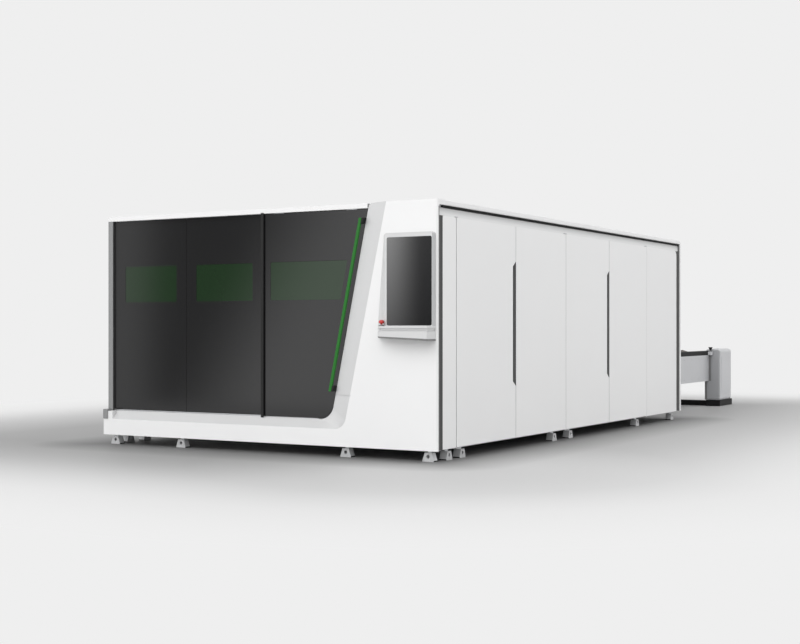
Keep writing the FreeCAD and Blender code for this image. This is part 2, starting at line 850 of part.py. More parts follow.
def make_sides():
    """Hoops, headers and the fixed side panels."""
    band_bottom = "enclosure_height - hoop_band"
    hoop = profile(
        "right_hoop", "YZ_Plane",
        [("frame_back", band_bottom), ("leg_front", band_bottom), ("leg_front", "side_clearance"),
         ("back", "side_clearance"), ("back", "enclosure_height"), ("frame_back", "enclosure_height")],
        "hoop_width", ("right - hoop_width", 0, 0), {4: "hoop_corner"})
    keep("side_hoops", group("hoops", hoop, mirrored_x("left_hoop", hoop)))

    header_height = "header_top - header_bottom"
    headers = []
    strips = []
    for side, header_start, strip_start in (
            ("right", "front + column_corner", "side_strip_start"), ("left", "frame_back", "frame_depth")):
        headers.append(profile(
            f"{side}_header", "XZ_Plane",
            [(0, 0), ("header_thickness", 0), ("header_thickness", f"{header_height} - header_fold"),
             ("header_thickness - header_fold", header_height), (0, header_height)],
            f"leg_front - ({header_start})", ("rail_outer", header_start, "header_bottom")))
        strips.append(profile(
            f"{side}_strip", "YZ_Plane",
            [(strip_start, 0), ("side_seam_1 - side_seam_gap / 2", 0),
             ("side_seam_1 - side_seam_gap / 2", "side_panel_height"), (strip_start, "side_panel_height")],
            "side_panel_thickness", ("rail_outer", "front", "side_clearance"), {3: "side_strip_corner"}))
    keep("side_headers", group("headers", headers[0], mirrored_x("mirrored_header", headers[1])))

    rear = profile(
        "side_rear", "YZ_Plane",
        [("side_seam_5 + side_seam_gap / 2", 0), ("side_panels_end", 0),
         ("side_panels_end", "side_panel_height"), ("side_seam_5 + side_seam_gap / 2", "side_panel_height")],
        "side_panel_thickness", ("rail_outer", "front", "side_clearance"), {2: "side_panels_corner"})
    keep("fixed_side_panels", group("fixed_sides", strips[0], rear))

    seams = ["side_seam_1", "side_seam_2", "side_seam_3", "side_seam_4", "side_seam_5"]
    left_panels = [mirrored_x("mirrored_strip", strips[1]), mirrored_x("left_rear", rear)]
    for start, end in zip(seams, seams[1:]):
        left_panels.append(block(
            "left_side_panel",
            ("left + side_panel_inset", f"front + {start} + side_seam_gap / 2", "side_clearance"),
            ("side_panel_thickness", f"{end} - {start} - side_seam_gap", "side_panel_height")))
    keep("left_side_panels", group("left_panels", *left_panels))


def make_side_doors():
    """Four swing doors in two pairs, with their pivot pins, pull slots and pivot tabs."""
    doors = [
        ("side_door_1", "side_seam_1", "side_seam_2", "near", True),
        ("side_door_2", "side_seam_2", "side_seam_3", "far", False),
        ("side_door_3", "side_seam_3", "side_seam_4", "near", True),
        ("side_door_4", "side_seam_4", "side_seam_5", "far", False),
    ]
    pin_x = "side_face - pivot_inset"
    tabs = []
    for node, start, end, hinge, has_slot in doors:
        near_y = f"front + {start} + side_seam_gap / 2"
        far_y = f"front + {end} - side_seam_gap / 2"
        leaf = block(
            f"{node}_leaf", ("side_face - side_door_thickness", near_y, "side_door_bottom"),
            ("side_door_thickness", f"{far_y} - ({near_y})", "side_panel_top - side_door_bottom"))
        if has_slot:
            slot = profile(
                f"{node}_slot", "YZ_Plane",
                [("-pull_slot_width", "pull_slot_slant"), (0, 0),
                 (0, "pull_slot_top - pull_slot_bottom"),
                 ("-pull_slot_width", "pull_slot_top - pull_slot_bottom - pull_slot_slant")],
                "pull_slot_depth", ("side_face - pull_slot_depth", far_y, "pull_slot_bottom"))
            leaf = cut(f"{node}_slotted", leaf, slot)
        pin_y = f"{near_y} + pivot_inset" if hinge == "near" else f"{far_y} - pivot_inset"
        upper_pin = rod(
            f"{node}_upper_pin", (pin_x, pin_y, "side_panel_top"), "pivot_radius",
            "pivot_door_gap + pivot_tab_thickness")
        lower_pin = rod(
            f"{node}_lower_pin", (pin_x, pin_y, "ground_clearance"), "pivot_radius",
            "side_door_bottom - ground_clearance")
        keep(node, join(f"{node}_leaf_and_pins", leaf, upper_pin, lower_pin))
        for level, tab_x, tab_z in (
                ("upper", "rail_outer + header_thickness", "header_bottom"),
                ("lower", "rail_outer", "ground_clearance")):
            plate = block(
                f"{node}_{level}_plate", (tab_x, f"{pin_y} - pivot_tab_width / 2", tab_z),
                (f"side_face - ({tab_x})", "pivot_tab_width", "pivot_tab_thickness"))
            hole = prism(
                f"{node}_{level}_hole", (pin_x, pin_y, tab_z), "pivot_radius + pivot_clearance",
                "pivot_tab_thickness", 16)
            tabs.append(cut(f"{node}_{level}_tab", plate, hole))
    keep("pivot_tabs", group("tabs", *tabs))


def make_tube_frame():
    """Straight tubes, butted end to face, that carry the panels and the roof."""
    span = "leg_front - frame_back"
    top = block("right_top_rail", ("rail_inner", "frame_back", "top_rail_bottom"),
                ("tube_width", span, "tube_top - top_rail_bottom"))
    bottom = block("right_bottom_rail", ("rail_inner", "frame_back", "ground_clearance"),
                   ("tube_width", span, "bottom_rail_height"))
    sill = block("rear_sill", ("-rail_inner", "leg_front - tube_width", "ground_clearance"),
                 ("2 * rail_inner", "tube_width", "bottom_rail_height"))
    keep("frame_rails", group(
        "rails", top, mirrored_x("left_top_rail", top),
        bottom, mirrored_x("left_bottom_rail", bottom), sill))

    post_size = ("tube_width", "tube_width", "top_rail_bottom - post_bottom")
    posts = [block("left_front_post", ("left + panel_seat", "frame_back", "post_bottom"), post_size)]
    starts = [f"front + {seam} - tube_width / 2" for seam in ("side_seam_1", "side_seam_3", "side_seam_5")]
    for start in starts + ["leg_front - tube_width"]:
        post = block("right_post", ("rail_inner", start, "post_bottom"), post_size)
        posts += [post, mirrored_x("left_post", post)]
    keep("frame_posts", group("posts", *posts))

    roof_length = "(leg_front - frame_back)"
    panel_length = f"({roof_length} - 2 * roof_seam) / 3"
    beams = []
    beam_starts = ["frame_back"]
    beam_starts += [f"frame_back + {number} * ({panel_length} + roof_seam) - (roof_seam + tube_width) / 2"
                    for number in (1, 2)]
    beam_starts += ["leg_front - tube_width"]
    for start in beam_starts:
        beams.append(block("roof_beam", ("-rail_inner", start, "tube_top - roof_beam_height"),
                           ("2 * rail_inner", "tube_width", "roof_beam_height")))
    keep("roof_beams", group("beams", *beams))
    panels = []
    for number in range(3):
        start = f"frame_back + {number} * ({panel_length} + roof_seam)"
        panels.append(block("roof_panel", ("left + hoop_width", start, "tube_top"),
                            ("enclosure_width - 2 * hoop_width", panel_length, "roof_panel_thickness")))
    keep("roof_panels", group("panels", *panels))

    wall = block("rear_plate", ("left + hoop_width", "leg_front", "side_clearance"),
                 ("enclosure_width - 2 * hoop_width", "rear_wall_thickness",
                  "tube_top + roof_panel_thickness - side_clearance"))
    gate = block("pallet_gate", ("-pallet_gate_width / 2", "leg_front", "pallet_gate_bottom"),
                 ("pallet_gate_width", "rear_wall_thickness", "pallet_gate_top - pallet_gate_bottom"))
    keep("rear_wall", cut("rear_wall_cut", wall, gate))


def console_sketch(name, depth, top_width, foot_width):
    """The console's outline at one depth, as wide at its top and foot as asked."""
    sketch = DOC.addObject("Sketcher::SketchObject", name)
    sketch.Placement = FreeCAD.Placement(FreeCAD.Vector(), FreeCAD.Rotation(AXES["x"], 90))
    bind(sketch, **{"Placement.Base.y": depth})
    corners = [
        (f"console_right - {foot_width}", "shelf_top"),
        ("console_right", "shelf_top"),
        ("console_right", "console_top"),
        (f"console_right - {top_width}", "console_top"),
    ]
    draw(sketch, corners, {2: "console_corner", 3: "console_corner"})
    return sketch


def make_console_head():
    """The tapered housing with its flush screen."""
    housing = DOC.addObject("Part::Loft", "console_blank")
    housing.Sections = [
        console_sketch("console_outline_front", "console_face", "console_face_width", "console_face_width"),
        console_sketch("console_outline_back", "front", "console_top_width", "console_foot_width"),
    ]
    housing.Solid = True
    housing.Ruled = True
    screen_at = ("right - screen_inset - screen_width", "console_face", "screen_bottom")
    screen_outline = [(0, 0), ("screen_width", 0), ("screen_width", "screen_top - screen_bottom"),
                      (0, "screen_top - screen_bottom")]
    screen_rounds = {corner: "screen_corner" for corner in range(4)}
    recess = profile(
        "screen_recess", "XZ_Plane", screen_outline, "screen_thickness", screen_at, screen_rounds)
    keep("console_housing", cut("console_cut", housing, recess))
    keep("touch_screen", profile(
        "screen", "XZ_Plane", screen_outline, "screen_thickness", screen_at, screen_rounds))


def shelf_plan(name, back, height, at_z):
    """The shelf's plan, whose left end slants back, padded to a height."""
    return profile(
        name, "XY_Plane",
        [("-console_foot_width", back), ("-shelf_front_width", "-console_reach"),
         (0, "-console_reach"), (0, back)],
        height, ("console_right", "front", at_z), {1: "drawer_corner", 2: "shelf_corner"})


def make_shelf_and_drawer():
    """The shelf with its stop button, and the keyboard drawer that hangs under it."""
    at_button = ("right - estop_inset", "front - estop_reach")
    shelf = shelf_plan("shelf", 0, "shelf_thickness", "shelf_top - shelf_thickness")
    collar = rod("estop_collar", (*at_button, "shelf_top"), "collar_radius", "collar_height")
    bore = rod(
        "estop_bore", (*at_button, "shelf_top - shelf_thickness"), "estop_stem_radius + running_gap",
        "shelf_thickness + collar_height")
    keep("keyboard_shelf", cut("shelf_bored", join("shelf_with_collar", shelf, collar), bore))

    cap = prism(
        "estop_cap", (*at_button, "estop_cap_bottom"), "estop_radius",
        "estop_cap_height - estop_crown_height", 24)
    crown = prism(
        "estop_crown", (*at_button, "estop_cap_bottom + estop_cap_height - estop_crown_height"),
        "estop_crown_radius", "estop_crown_height", 24)
    stem = rod(
        "estop_stem", (*at_button, "estop_cap_bottom - estop_stem_length"), "estop_stem_radius",
        "estop_stem_length")
    keep("estop_button", join("estop_cap_and_stem", cap, crown, stem))

    cover = shelf_plan(
        "drawer_cover", "-running_gap", "drawer_top - drawer_right_bottom", "drawer_right_bottom")
    underside = profile(
        "drawer_underside", "XZ_Plane",
        [("-console_foot_width", 0), (0, 0),
         ("-console_foot_width", "drawer_left_bottom - drawer_right_bottom")],
        "console_reach", ("console_right", "front - console_reach", "drawer_right_bottom"))
    tray = block(
        "drawer_tray", ("tray_left", "front - running_gap", "drawer_tray_bottom"),
        ("tray_width", "drawer_tray_depth", "drawer_top - drawer_tray_bottom - running_gap"))
    hollow = block(
        "drawer_hollow",
        ("tray_left + drawer_wall", "front - console_reach + drawer_wall",
         "drawer_tray_bottom + drawer_floor"),
        ("tray_width - 2 * drawer_wall", "console_reach + drawer_tray_depth - 2 * drawer_wall",
         "drawer_top - drawer_tray_bottom - drawer_floor"))
    body = join("drawer_body", cut("drawer_cover_cut", cover, underside), tray)
    keep("keyboard_drawer", cut("drawer_cut", body, hollow))


def make_foot(name, x, y, facing):
    """One levelling foot: a black pad, a bell-shaped block with a cross hole, and a stud."""
    half = "foot_width / 2"
    top_half = "foot_top_width / 2"
    outline = [(f"-{half}", 0), (half, 0), (half, "foot_pad_height"), (top_half, "foot_height"),
               (f"-{top_half}", "foot_height"), (f"-{half}", "foot_pad_height")]
    if facing == "y":
        plane = "XZ_Plane"
        start = (x, f"{y} - foot_thickness / 2")
    else:
        plane = "YZ_Plane"
        start = (f"{x} - foot_thickness / 2", y)
    bell = profile(f"{name}_bell", plane, outline, "foot_thickness", (*start, 0))
    hole = prism(
        f"{name}_hole", (*start, "(foot_pad_height + foot_height) / 2"), "foot_hole_radius",
        "foot_thickness", 8, facing)
    stud = prism(
        f"{name}_stud", (x, y, "foot_height"), "foot_stud_radius", "ground_clearance - foot_height", 6)
    return join(name, cut(f"{name}_cut", bell, hole), stud)


def make_feet():
    """All levelling feet: under the front frame, the side rails and the bed."""
    feet = []
    for number in range(1, 5):
        feet.append(make_foot("front_foot", f"right - front_foot_{number}", "front + front_foot_depth", "y"))
    for number in range(1, 7):
        foot = make_foot("side_foot", "right - side_foot_inset", f"front + side_foot_{number}", "x")
        feet += [foot, mirrored_x("left_side_foot", foot)]
    for share in (0.05, 0.35, 0.65, 0.95):
        pad = prism(
            "bed_pad", ("bed_inner + bed_beam_width / 2", f"bed_front + bed_length * {share}", 0),
            "bed_pad_radius", "bed_beam_bottom", 8)
        feet += [pad, mirrored_x("left_bed_pad", pad)]
    keep("levelling_feet", group("machine_feet", *feet))


def make_bed():
    """The welded bed with its rails, racks, pallet guides and scrap trays."""
    height = "bed_beam_top - bed_beam_bottom"
    beam = block("bed_beam", ("bed_inner", "bed_front", "bed_beam_bottom"),
                 ("bed_beam_width", "bed_length", height))
    pitch = "(bed_length / 4)"
    windows = [
        block("bed_window",
              ("bed_outer - bed_window_depth",
               f"bed_front + {pitch} * {number} + ({pitch} - bed_window_length) / 2",
               f"bed_beam_bottom + ({height} - bed_window_height) / 2"),
              ("bed_window_depth", "bed_window_length", "bed_window_height"))
        for number in range(4)]
    cut_beam = cut("bed_beam_cut", beam, *windows)
    keep("bed_beams", group("beams_of_bed", cut_beam, mirrored_x("left_bed_beam", cut_beam)))

    cross_pitch = "(bed_length - 2 * cross_member_width) / 3"
    members = [
        block("cross_member",
              ("-bed_inner", f"bed_front + cross_member_width / 2 + {number} * {cross_pitch}",
               "bed_beam_bottom"),
              ("bed_gauge", "cross_member_width", "cross_member_height"))
        for number in range(4)]
    keep("bed_cross_members", group("cross_members", *members))

    half = "rail_width / 2"
    waist = "rail_width / 2 - rail_waist"
    rail = profile(
        "gantry_rail", "XZ_Plane",
        [(f"-({half})", 0), (half, 0), (half, "rail_height * 0.3"), (waist, "rail_height * 0.5"),
         (waist, "rail_height * 0.6"), (half, "rail_height * 0.75"), (half, "rail_height"),
         (f"-({half})", "rail_height"), (f"-({half})", "rail_height * 0.75"),
         (f"-({waist})", "rail_height * 0.6"), (f"-({waist})", "rail_height * 0.5"),
         (f"-({half})", "rail_height * 0.3")],
        "bed_length - bed_pad_radius * 2", ("rail_gauge / 2", "bed_front + bed_pad_radius", "bed_beam_top"))
    keep("gantry_rails", group("rails_of_gantry", rail, mirrored_x("left_gantry_rail", rail)))
    rack = block(
        "gantry_rack", ("rack_gauge / 2 - rack_width / 2", "bed_front + bed_pad_radius", "bed_beam_top"),
        ("rack_width", "bed_length - bed_pad_radius * 2", "rail_height"))
    keep("gantry_racks", group("racks_of_gantry", rack, mirrored_x("left_gantry_rack", rack)))

    guides = []
    shelf = "guide_shelf_width"
    for place, start, end in (
            ("bed", "front + guide_start", "bed_back"), ("table", "wall_back", "table_back")):
        for level in ("upper", "lower"):
            angle = profile(
                f"{place}_{level}_guide", "XZ_Plane",
                [(f"-{shelf}", "-guide_thickness"), (0, "-guide_thickness"), (0, "guide_flange_height"),
                 ("-guide_thickness", "guide_flange_height"), ("-guide_thickness", 0), (f"-{shelf}", 0)],
                f"{end} - ({start})", ("bed_inner", start, f"{level}_guide_height"))
            guides += [angle, mirrored_x(f"left_{place}_{level}_guide", angle)]
    keep("pallet_guides", group("guides", *guides))

    tray_z = "bed_beam_bottom + cross_member_height"
    tray_length = "(bed_length - 2 * cross_member_width - scrap_tray_spacing) / 2"
    trays = []
    for number in range(2):
        start = f"bed_front + cross_member_width + {number} * ({tray_length} + scrap_tray_spacing)"
        pan = block("tray_pan", ("-scrap_tray_width / 2", start, tray_z),
                    ("scrap_tray_width", tray_length, "scrap_tray_height"))
        hollow = block("tray_hollow",
                       ("-scrap_tray_width / 2 + scrap_tray_wall", f"{start} + scrap_tray_wall",
                        f"{tray_z} + scrap_tray_wall"),
                       ("scrap_tray_width - 2 * scrap_tray_wall", f"{tray_length} - 2 * scrap_tray_wall",
                        "scrap_tray_height - scrap_tray_wall"))
        trays.append(cut("scrap_tray", pan, hollow))
    keep("scrap_trays", group("trays", *trays))


def make_equipment():
    """The electric cabinet and the laser source on their shelf behind the right-hand doors."""
    shelf = block(
        "shelf_plate", ("bed_outer", "bed_front", "post_bottom - equipment_shelf_thickness"),
        ("rail_inner - bed_outer", "front + laser_start + laser_length - bed_front",
         "equipment_shelf_thickness"))
    front_shelf = block(
        "front_shelf_plate", ("right - equipment_inset - equipment_depth", "front + cabinet_start",
                              "post_bottom - equipment_shelf_thickness"),
        ("rail_inner - right + equipment_inset + equipment_depth", "bed_start - cabinet_start",
         "equipment_shelf_thickness"))
    keep("equipment_shelf", join("shelf_plates", shelf, front_shelf))

    x = "right - equipment_inset - equipment_depth"
    body = block("cabinet_body", (x, "front + cabinet_start", "post_bottom"),
                 ("equipment_depth - cabinet_door_thickness", "cabinet_length", "cabinet_height"))
    leaves = [
        block("cabinet_leaf",
              ("right - equipment_inset - cabinet_door_thickness",
               f"front + cabinet_start + {number} * cabinet_length / 2 + panel_seam",
               "post_bottom + panel_seam"),
              ("cabinet_door_thickness", "cabinet_length / 2 - 2 * panel_seam",
               "cabinet_height - 2 * panel_seam"))
        for number in range(2)]
    keep("electric_cabinet", join("cabinet", body, *leaves))

    source = block("laser_body", (x, "front + laser_start", "post_bottom"),
                   ("equipment_depth", "laser_length", "laser_height"))
    vents = profile(
        "laser_vents", "XZ_Plane",
        [(0, 0), ("vent_slot_depth", 0), ("vent_slot_depth", "vent_slot_height"), (0, "vent_slot_height")],
        "laser_length - 2 * vent_side_inset",
        ("right - equipment_inset - vent_slot_depth", "front + laser_start + vent_side_inset",
         "post_bottom + vent_bottom"))
    repeat(vents, "Z_Axis", "vent_slot_pitch", "vent_slot_count")
    keep("laser_source", cut("laser_cut", source, vents))


def make_gantry():
    """The travelling bridge with its saddles, motors and cross rails."""
    half_depth = "beam_depth / 2"
    beam = profile(
        "gantry_blank", "YZ_Plane",
        [(f"-{half_depth}", 0), (half_depth, 0), (half_depth, "beam_height - beam_chamfer"),
         ("beam_depth / 2 - beam_chamfer", "beam_height"), (f"-{half_depth}", "beam_height")],
        "beam_length", ("-beam_length / 2", "gantry_y", "beam_bottom"))
    cell_height = "(beam_height - 3 * beam_wall) / 2"
    cells = [
        profile("gantry_cell", "YZ_Plane",
                [("-beam_depth / 2 + beam_wall", 0), ("beam_depth / 2 - beam_wall - beam_chamfer", 0),
                 ("beam_depth / 2 - beam_wall - beam_chamfer", cell_height),
                 ("-beam_depth / 2 + beam_wall", cell_height)],
                "beam_length",
                ("-beam_length / 2", "gantry_y",
                 f"beam_bottom + beam_wall + {number} * ({cell_height} + beam_wall)"))
        for number in range(2)]
    keep("gantry_beam", cut("gantry_beam_cut", beam, *cells))

    half_foot = "saddle_foot / 2"
    half_top = "saddle_top_width / 2"
    height = "beam_bottom - saddle_bottom"
    saddle = profile(
        "saddle_casting", "YZ_Plane",
        [(f"-{half_foot}", 0), ("saddle_foot / 2 + saddle_motor_step", 0),
         ("saddle_foot / 2 + saddle_motor_step", "saddle_step_height"), (half_top, "saddle_step_height"),
         (half_top, height), (f"-{half_top}", height), (f"-{half_foot}", "saddle_step_height")],
        "saddle_width", ("beam_length / 2 - saddle_width", "gantry_y", "saddle_bottom"))
    members = [saddle, mirrored_x("left_saddle", saddle)]
    block_z = "bed_beam_top + block_clearance"
    for side in (-1, 1):
        block_y = f"gantry_y + {side} * block_pitch / 2 - block_length / 2"
        blank = block(
            "rail_block", ("rail_gauge / 2 - block_width / 2", block_y, block_z),
            ("block_width", "block_length", f"saddle_bottom - ({block_z})"))
        channel = block(
            "rail_channel", ("rail_gauge / 2 - rail_width / 2 - running_gap", block_y, block_z),
            ("rail_width + 2 * running_gap", "block_length", "rail_height + running_gap - block_clearance"))
        runner = cut("rail_runner", blank, channel)
        members += [runner, mirrored_x("left_rail_runner", runner)]
    keep("gantry_saddles", group("saddles", *members))

    motor_x = "rack_gauge / 2 - rack_width / 2 - pinion_radius - running_gap"
    motor_y = "gantry_y + motor_offset"
    motor_z = "saddle_bottom + saddle_step_height"
    pinion = prism(
        "pinion", (motor_x, motor_y, "bed_beam_top + block_clearance"), "pinion_radius",
        "pinion_height", 16)
    shaft = prism(
        "pinion_shaft", (motor_x, motor_y, "bed_beam_top + block_clearance + pinion_height"),
        "pinion_shaft_radius", "saddle_bottom - bed_beam_top - block_clearance - pinion_height", 8)
    flange = block(
        "motor_flange_plate", (f"{motor_x} - motor_flange / 2", f"{motor_y} - motor_flange / 2", motor_z),
        ("motor_flange", "motor_flange", "motor_flange_height"))
    case = block("motor_case",
                 (f"{motor_x} - motor_width / 2", f"{motor_y} - motor_width / 2",
                  f"{motor_z} + motor_flange_height"),
                 ("motor_width", "motor_width", "motor_height"))
    drive = join("right_pinion", pinion, shaft)
    motor = join("right_motor", flange, case)
    keep("gantry_motors", group(
        "motors", drive, mirrored_x("left_pinion", drive), motor, mirrored_x("left_motor", motor)))

    rails = [
        block("cross_rail",
              ("-cross_rail_length / 2", "gantry_y - beam_depth / 2 - cross_rail_height",
               f"{height} - cross_rail_width / 2"),
              ("cross_rail_length", "cross_rail_height", "cross_rail_width"))
        for height in ("lower_cross_rail", "upper_cross_rail")]
    keep("cross_rails", group("rails_across", *rails))


def make_carriage():
    """The carriage with its vertical axis housing and motor, the vertical slide and the cutting head."""
    centre = "(lower_cross_rail + upper_cross_rail) / 2"
    plate = block(
        "carriage_plate", ("-carriage_width / 2", "carriage_front", f"{centre} - carriage_plate_height / 2"),
        ("carriage_width", "carriage_plate_thickness", "carriage_plate_height"))
    members = [plate]
    for height in ("lower_cross_rail", "upper_cross_rail"):
        for end in ("-carriage_width / 2", "carriage_width / 2 - carriage_block_length"):
            blank = block(
                "carriage_block", (end, "carriage_back", f"{height} - carriage_block_height / 2"),
                ("carriage_block_length", "cross_rail_height - block_clearance", "carriage_block_height"))
            channel = block(
                "carriage_channel",
                (end, "carriage_back", f"{height} - cross_rail_width / 2 - running_gap"),
                ("carriage_block_length", "cross_rail_height", "cross_rail_width + 2 * running_gap"))
            members.append(cut("carriage_runner", blank, channel))
    housing = block(
        "z_housing", ("-z_housing_width / 2", "housing_front", "z_housing_bottom"),
        ("z_housing_width", "z_housing_depth", "z_housing_height"))
    motor = block(
        "z_motor",
        ("-motor_width / 2 + block_clearance", "housing_front", "z_housing_bottom + z_housing_height"),
        ("motor_width - 2 * block_clearance", "z_housing_depth", "motor_height"))
    keep("carriage", join("carriage_assembly", *members, housing, motor))

    slide = block(
        "z_slide_plate", ("-z_slide_width / 2", "slide_front", "z_slide_bottom"),
        ("z_slide_width", "z_slide_thickness", "z_slide_height"))
    keep("z_slide", slide)

    head_y = "slide_front - head_width / 2"
    half = "head_width / 2"
    case = profile(
        "head_case", "XY_Plane",
        [(f"-{half}", 0), (f"-{half}", "head_corner - head_width"),
         (f"head_corner - {half}", "-head_width"), (f"{half} - head_corner", "-head_width"),
         (half, "head_corner - head_width"), (half, 0)],
        "head_height", (0, "slide_front", "head_bottom"))
    nozzle = cone(
        "head_nozzle", (0, head_y, "head_nozzle_tip"),
        "head_tip_radius", "head_nozzle_radius", "head_nozzle_height")
    sensor_z = "head_nozzle_tip + head_nozzle_height"
    sensor = prism(
        "head_sensor", (0, head_y, sensor_z), "head_sensor_radius", "head_sensor_height", 16)
    neck = prism(
        "head_neck", (0, head_y, f"{sensor_z} + head_sensor_height"), "head_neck_radius",
        f"head_bottom - ({sensor_z}) - head_sensor_height", 12)
    keep("cutting_head", join("head", case, nozzle, sensor, neck))


def make_pallet(name, guide, start):
    """One pallet: a tube frame on wheels, with toothed slats between its long tubes."""
    base = f"{guide} + pallet_underside"
    side_tube = block(
        f"{name}_tube", ("pallet_side - pallet_tube_width", start, base),
        ("pallet_tube_width", "pallet_length", "pallet_tube_height"))
    members = [side_tube, mirrored_x(f"{name}_left_tube", side_tube)]
    for number in range(SIZES["pallet_bays"] + 1):
        members.append(block(
            f"{name}_cross", ("-slat_span / 2", f"{start} + {number} * bay_length", base),
            ("slat_span", "pallet_tube_width", "pallet_cross_height")))
    frame = join(f"{name}_welded", *members)
    wheel_pitch = "(pallet_length - 2 * pallet_wheel_inset) / (pallet_wheel_count - 1)"
    wheels = []
    for number in range(SIZES["pallet_wheel_count"]):
        wheel = prism(
            f"{name}_wheel",
            ("pallet_side", f"{start} + pallet_wheel_inset + {number} * {wheel_pitch}",
             f"{guide} + pallet_wheel_radius + running_gap"),
            "pallet_wheel_radius", "pallet_wheel_width", 12, "x")
        wheels += [wheel, mirrored_x(f"{name}_left_wheel", wheel)]
    keep(f"{name}_frame", group(f"{name}_frame_and_wheels", frame, *wheels))

    teeth = SIZES["slat_teeth"]
    pitch = "slat_span / slat_teeth"
    valley = "slat_height - slat_tooth_height"
    outline = [("slat_span / 2", 0), ("slat_span / 2", valley)]
    for number in range(teeth):
        tip = f"slat_span / 2 - ({number} + 0.5) * {pitch}"
        outline += [(tip, "slat_height"), (f"{tip} - {pitch} / 2", valley)]
    outline.append(("-slat_span / 2", 0))
    slat = profile(
        f"{name}_slat", "XZ_Plane", outline, "slat_thickness",
        (0, f"{start} + (pallet_length - (slat_count - 1) * slat_pitch - slat_thickness) / 2",
         f"{base} + pallet_cross_height"))
    keep(f"{name}_slats", repeat(slat, "Y_Axis", "slat_pitch", "slat_count"))


def make_table():
    """The exchange table: side beams, top rails, cross beams, end posts, plinths and pallet stops."""
    width = "table_beam_width"
    height = "table_beam_height"
    wall = "table_beam_wall"
    beam = profile(
        "table_beam", "XZ_Plane",
        [(0, 0), (width, 0), (width, height), (0, height), (0, f"{height} - table_upper_lip"),
         (wall, f"{height} - table_upper_lip"), (wall, f"{height} - {wall}"),
         (f"{width} - {wall}", f"{height} - {wall}"), (f"{width} - {wall}", wall), (wall, wall),
         (wall, "table_lower_lip"), (0, "table_lower_lip")],
        "table_back - wall_back", ("bed_inner", "wall_back", "table_beam_bottom"))
    keep("table_side_beams", group("side_beams", beam, mirrored_x("left_table_beam", beam)))

    chamfer = "top_rail_chamfer"
    rail = profile(
        "top_rail", "XZ_Plane",
        [(0, 0), ("top_rail_width", 0), ("top_rail_width", f"top_rail_height - {chamfer}"),
         (f"top_rail_width - {chamfer}", "top_rail_height"), (0, "top_rail_height")],
        "table_back - wall_back", ("post_inner", "wall_back", "table_beam_top"))
    keep("table_top_rails", group("top_rails", rail, mirrored_x("left_top_cover", rail)))

    cross_height = "lower_guide_height - guide_thickness - table_beam_bottom"
    crosses = [
        block("table_cross",
              ("-bed_inner", f"wall_back + (table_back - wall_back) * {share}", "table_beam_bottom"),
              ("bed_gauge", "table_cross_width", cross_height))
        for share in (0.2, 0.58, 0.95)]
    keep("table_cross_beams", group("table_crosses", *crosses))

    post = profile(
        "end_post", "XZ_Plane",
        [(0, "plinth_height"), ("post_width", "plinth_height"), ("post_width", "post_top"), (0, "post_top")],
        "post_length", ("post_inner", "table_back", 0), {2: "post_corner", 3: "post_corner"})
    keep("end_posts", group("posts_of_table", post, mirrored_x("left_end_post", post)))

    plinth = block(
        "plinth", ("post_inner + plinth_side_inset", "table_back + plinth_setback", 0),
        ("post_width - 2 * plinth_side_inset", "post_length + plinth_reach - plinth_setback",
         "plinth_height"))
    tie = block(
        "floor_tie", ("-post_inner - plinth_side_inset", "table_back + floor_tie_setback", 0),
        ("2 * post_inner + 2 * plinth_side_inset", "floor_tie_width", "floor_tie_height"))
    keep("table_plinths", group("plinths", plinth, mirrored_x("left_plinth", plinth), tie))

    bracket_x = "post_inner + top_rail_width"
    bracket = block(
        "stop_bracket", (bracket_x, "table_back - stop_bracket_length", "table_beam_top"),
        ("stop_bracket_width", "stop_bracket_length", "stop_bracket_height"))
    wedge = profile(
        "stop_wedge", "XZ_Plane",
        [("stop_bracket_width / 2", 0), ("stop_bracket_width", "stop_wedge_height"),
         (0, "stop_wedge_height")],
        "stop_wedge_thickness",
        (bracket_x, "table_back - stop_wedge_thickness", "post_top - stop_wedge_height / 2"))
    stop = join("stop", bracket, wedge)
    keep("pallet_stops", group("stops", stop, mirrored_x("left_stop", stop)))


def check_and_export():
    """Stop on any failed object, then write each sub-part to its own file."""
    DOC.recompute()
    for thing in DOC.Objects:
        if "Invalid" in thing.State or "Error" in thing.State:
            raise RuntimeError(f"{thing.Label} failed: {thing.State}")
    os.makedirs("parts", exist_ok=True)
    for part in PARTS:
        shape = part.Shape
        if shape.isNull() or not shape.isValid() or shape.Volume <= 0:
            raise RuntimeError(f"{part.Label} has no sound shape")
        shape.exportStep(f"parts/{part.Label}.step")
    print(f"{len(PARTS)} sub-parts")


fill_sheet()
make_front_frame()
make_front_rails()
make_fixed_panels()
make_front_door()
make_sides()
make_side_doors()
make_tube_frame()
make_console_head()
make_shelf_and_drawer()
make_feet()
make_bed()
make_equipment()
make_gantry()
make_carriage()
make_pallet("upper_pallet", "upper_guide_height", "front + pallet_parking")
make_pallet("lower_pallet", "lower_guide_height", "front + pallet_parking - pallet_travel")
make_table()
check_and_export()
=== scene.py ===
# %% [markdown]
# # Dressing a sheet-metal laser cutter
# The machine is a long white enclosure on levelling feet. A dark sliding door with green safety
# windows closes its front, a touch screen stands on its slanted column, four swing doors line its
# right side, and a two-pallet exchange table reaches out behind it.
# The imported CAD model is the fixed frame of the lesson: every new piece rides one of its bodies.

import json
from itertools import product
from math import radians, tau

import bmesh
import bpy
from mathutils import Matrix, Vector

